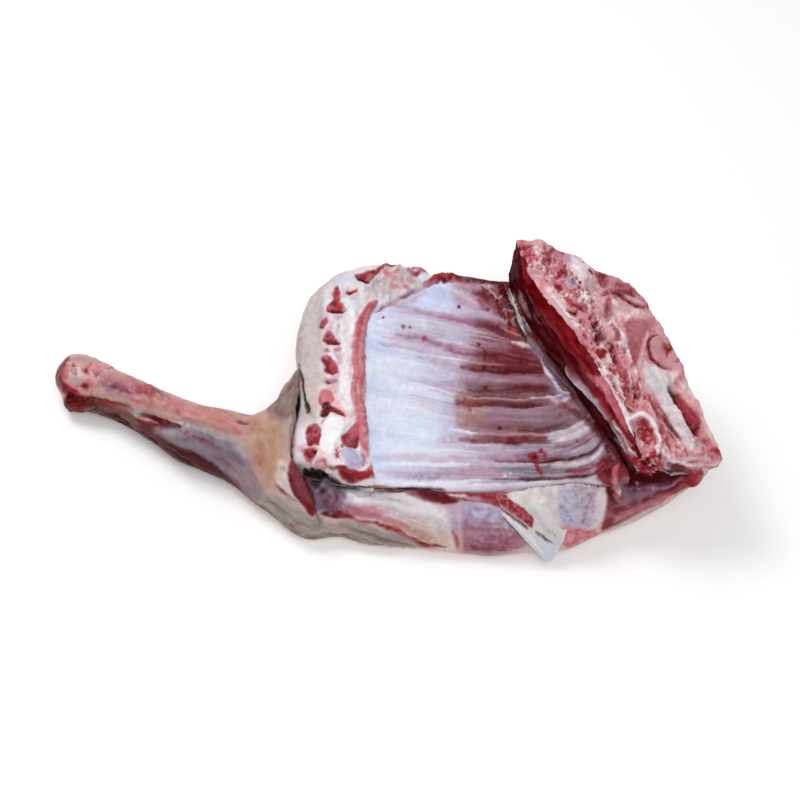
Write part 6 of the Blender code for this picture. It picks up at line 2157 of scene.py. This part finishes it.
# Bare gristle: pink and smooth, with a tight gleam and hardly any fibre.
gristle = tissue("knuckle_gristle", roughness=(0.26, 0.46), mottle_mm=2.2, mottle=0.06,
                 fibre_mm=(3.0, 3.0), fibre=0.04, bump_mm=0.24, coat=0.12, gleam=0.13)
finish_piece("knuckle", knuckle_shape, knuckle_base, KNUCKLE_MARKS + MEAT_MARKS, knuckle_relief,
             ring_map(knuckle_shape, knuckle), gristle, ["shank_bone"], wobble=0.8)

# %% [markdown]
# ## The flap of cartilage
# A white tongue of blade cartilage hangs over the front face. It is thin at its edges;
# here its under side is the top grid moved 3 mm along one slant, and its side bows in a
# little.

# %% Marks of the flap
FLAP_MARKS = """
area ice 0 6 .60 0 3 | 502,486 520,484 526,496 512,502
area sky 0 5 .55 0 2.6 | 538,540 552,540 560,550 548,558 540,550
line ash 6 5 .45 | 524,498 536,516 548,534
line yellow 8 6 .25 | 520,490 540,500
area blood 0 1.8 .95 1.0 | 490,489 504,494 514,501 526,510 533,520 532,528 524,522 510,511 496,502
line clot 3 1.8 .80 -.6 | 498,506 512,516 528,529
line umber 3 1.8 .75 -.4 | 536,532 544,538 552,543
line white 3 2 .70 .5 | 503,513 516,524 530,538 542,552
line lavender 6 4 .60 | 552,490 556,506 556,520
line red 3 2 .50 0 2 | 548,530 556,536
"""

# %% The flap as a thin tongue
FLAP_LEFT = [(72, -88, 42), (77, -100, 34), (92, -111, 20), (107, -118, 5)]
FLAP_RIGHT = [(118, -88, 43), (122, -100, 35), (120, -111, 20), (112, -118, 5)]
FLAP_LIFT = (0.0, -1.0, 1.5)
FLAP_CROWN = (0.0, -2.0, 1.5)
FLAP_INWARD, FLAP_THICK = np.array((0, 0.55, -0.83)), 3.0
SINK_START, SINK = 0.55, np.array((0, 2.2, -1.6))    # its right side goes into the meat
FLAP_ROWS, FLAP_COLS = 90, 80

down, cross = np.linspace(0, 1, FLAP_ROWS), np.linspace(0, 1, FLAP_COLS)
flap = between(smooth_line(FLAP_LEFT, down), smooth_line(FLAP_RIGHT, down), cross)
proud = (np.sin(np.pi * cross)[None, :] * (1 - down)[:, None])[:, :, None]
sunk = ramp(cross, SINK_START, 1)[None, :, None] * SINK
flap = (flap + FLAP_LIFT + proud * FLAP_CROWN + sunk)[::-1]
flap_shape = slab(flap, flap + FLAP_INWARD * FLAP_THICK, steps=5, bulge=-0.8, sink=0)


def flap_base(points, normals):
    """Cream, a little blue towards the tip."""
    tip = ramp(points[:, 2], 30, 5)
    return blend(COLOUR["milk"], COLOUR["sky"], 0.4 * tip) - 0.03


def flap_relief(points):
    """A soft pucker."""
    return swells(points, ((0.5, 9, 53), (0.2, 3, 54)))


# Cartilage: milky, smooth and wet, with the strongest coat of all.
cartilage = tissue("blade_cartilage", roughness=(0.26, 0.42), mottle_mm=2.4, mottle=0.04,
                   fibre_mm=(2.0, 6.0), fibre=0.04, bump_mm=0.2, coat=0.35)
finish_piece("cartilage_flap", flap_shape, flap_base, FLAP_MARKS, flap_relief, flat_map, cartilage,
             ["blade_flap"], wobble=0.8)

# %% [markdown]
# ## Stage
# A pale floor, an even white sky and two broad soft lamps. The camera stands where the
# fixed eye stands.

# %% Floor
FLOOR_HALF, FLOOR_DOWN = 12.0, -0.0003    # metres
floor_mesh = bpy.data.meshes.new("floor")
floor_mesh.from_pydata([(x * FLOOR_HALF, y * FLOOR_HALF, FLOOR_DOWN)
                        for x, y in ((-1, -1), (1, -1), (1, 1), (-1, 1))], [], [(0, 1, 2, 3)])
floor = bpy.data.objects.new("floor", floor_mesh)
bpy.context.scene.collection.objects.link(floor)
# White paper: rough, and a little lit of its own so that it stays white under the shadow.
paper = bpy.data.materials.new("white_paper")
paper.use_nodes = True
for socket, value in (("Base Color", (0.98, 0.98, 0.98, 1)), ("Roughness", 0.9),
                      ("Emission Color", (1, 1, 1, 1)), ("Emission Strength", 0.12)):
    paper.node_tree.nodes["Principled BSDF"].inputs[socket].default_value = value
floor_mesh.materials.append(paper)

# %% Light
SKY_STRENGTH = 0.5
world = bpy.data.worlds.new("studio")
world.use_nodes = True
world.node_tree.nodes["Background"].inputs["Color"].default_value = (1.0, 1.0, 1.0, 1)
world.node_tree.nodes["Background"].inputs["Strength"].default_value = SKY_STRENGTH
bpy.context.scene.world = world


def soft_lamp(name, place, side, power):
    """A square lamp of that side in metres and power in watts, turned to the middle of the cut."""
    data = bpy.data.lights.new(name, "AREA")
    data.shape = "SQUARE"
    data.size = side
    data.energy = power
    lamp = bpy.data.objects.new(name, data)
    lamp.location = place
    aim = (LOOK_AT - CENTRE) * MM - np.array(place)
    lamp.rotation_euler = (math.atan2(math.hypot(aim[0], aim[1]), -aim[2]), 0,
                           math.atan2(aim[1], aim[0]) - math.pi / 2)
    bpy.context.scene.collection.objects.link(lamp)


soft_lamp("lamp_over_shank", (-0.6, 0.5, 1.3), 0.6, 9)
soft_lamp("lamp_front", (0.4, -0.9, 1.4), 0.7, 6)

# %% Camera
SENSOR = 36    # mm
camera_data = bpy.data.cameras.new("camera")
camera_data.sensor_width = SENSOR
camera_data.lens = SENSOR * (EYE_FAR / MM_A_STEP) / SQUARE
camera = bpy.data.objects.new("camera", camera_data)
camera.location = (EYE - CENTRE) * MM
camera.rotation_euler = (math.pi / 2 - EYE_RISE, 0, 0)
bpy.context.scene.collection.objects.link(camera)
bpy.context.scene.camera = camera
bpy.context.scene.view_settings.view_transform = "Standard"
print("camera at", [round(x, 4) for x in camera.location], "lens", round(camera_data.lens, 1))
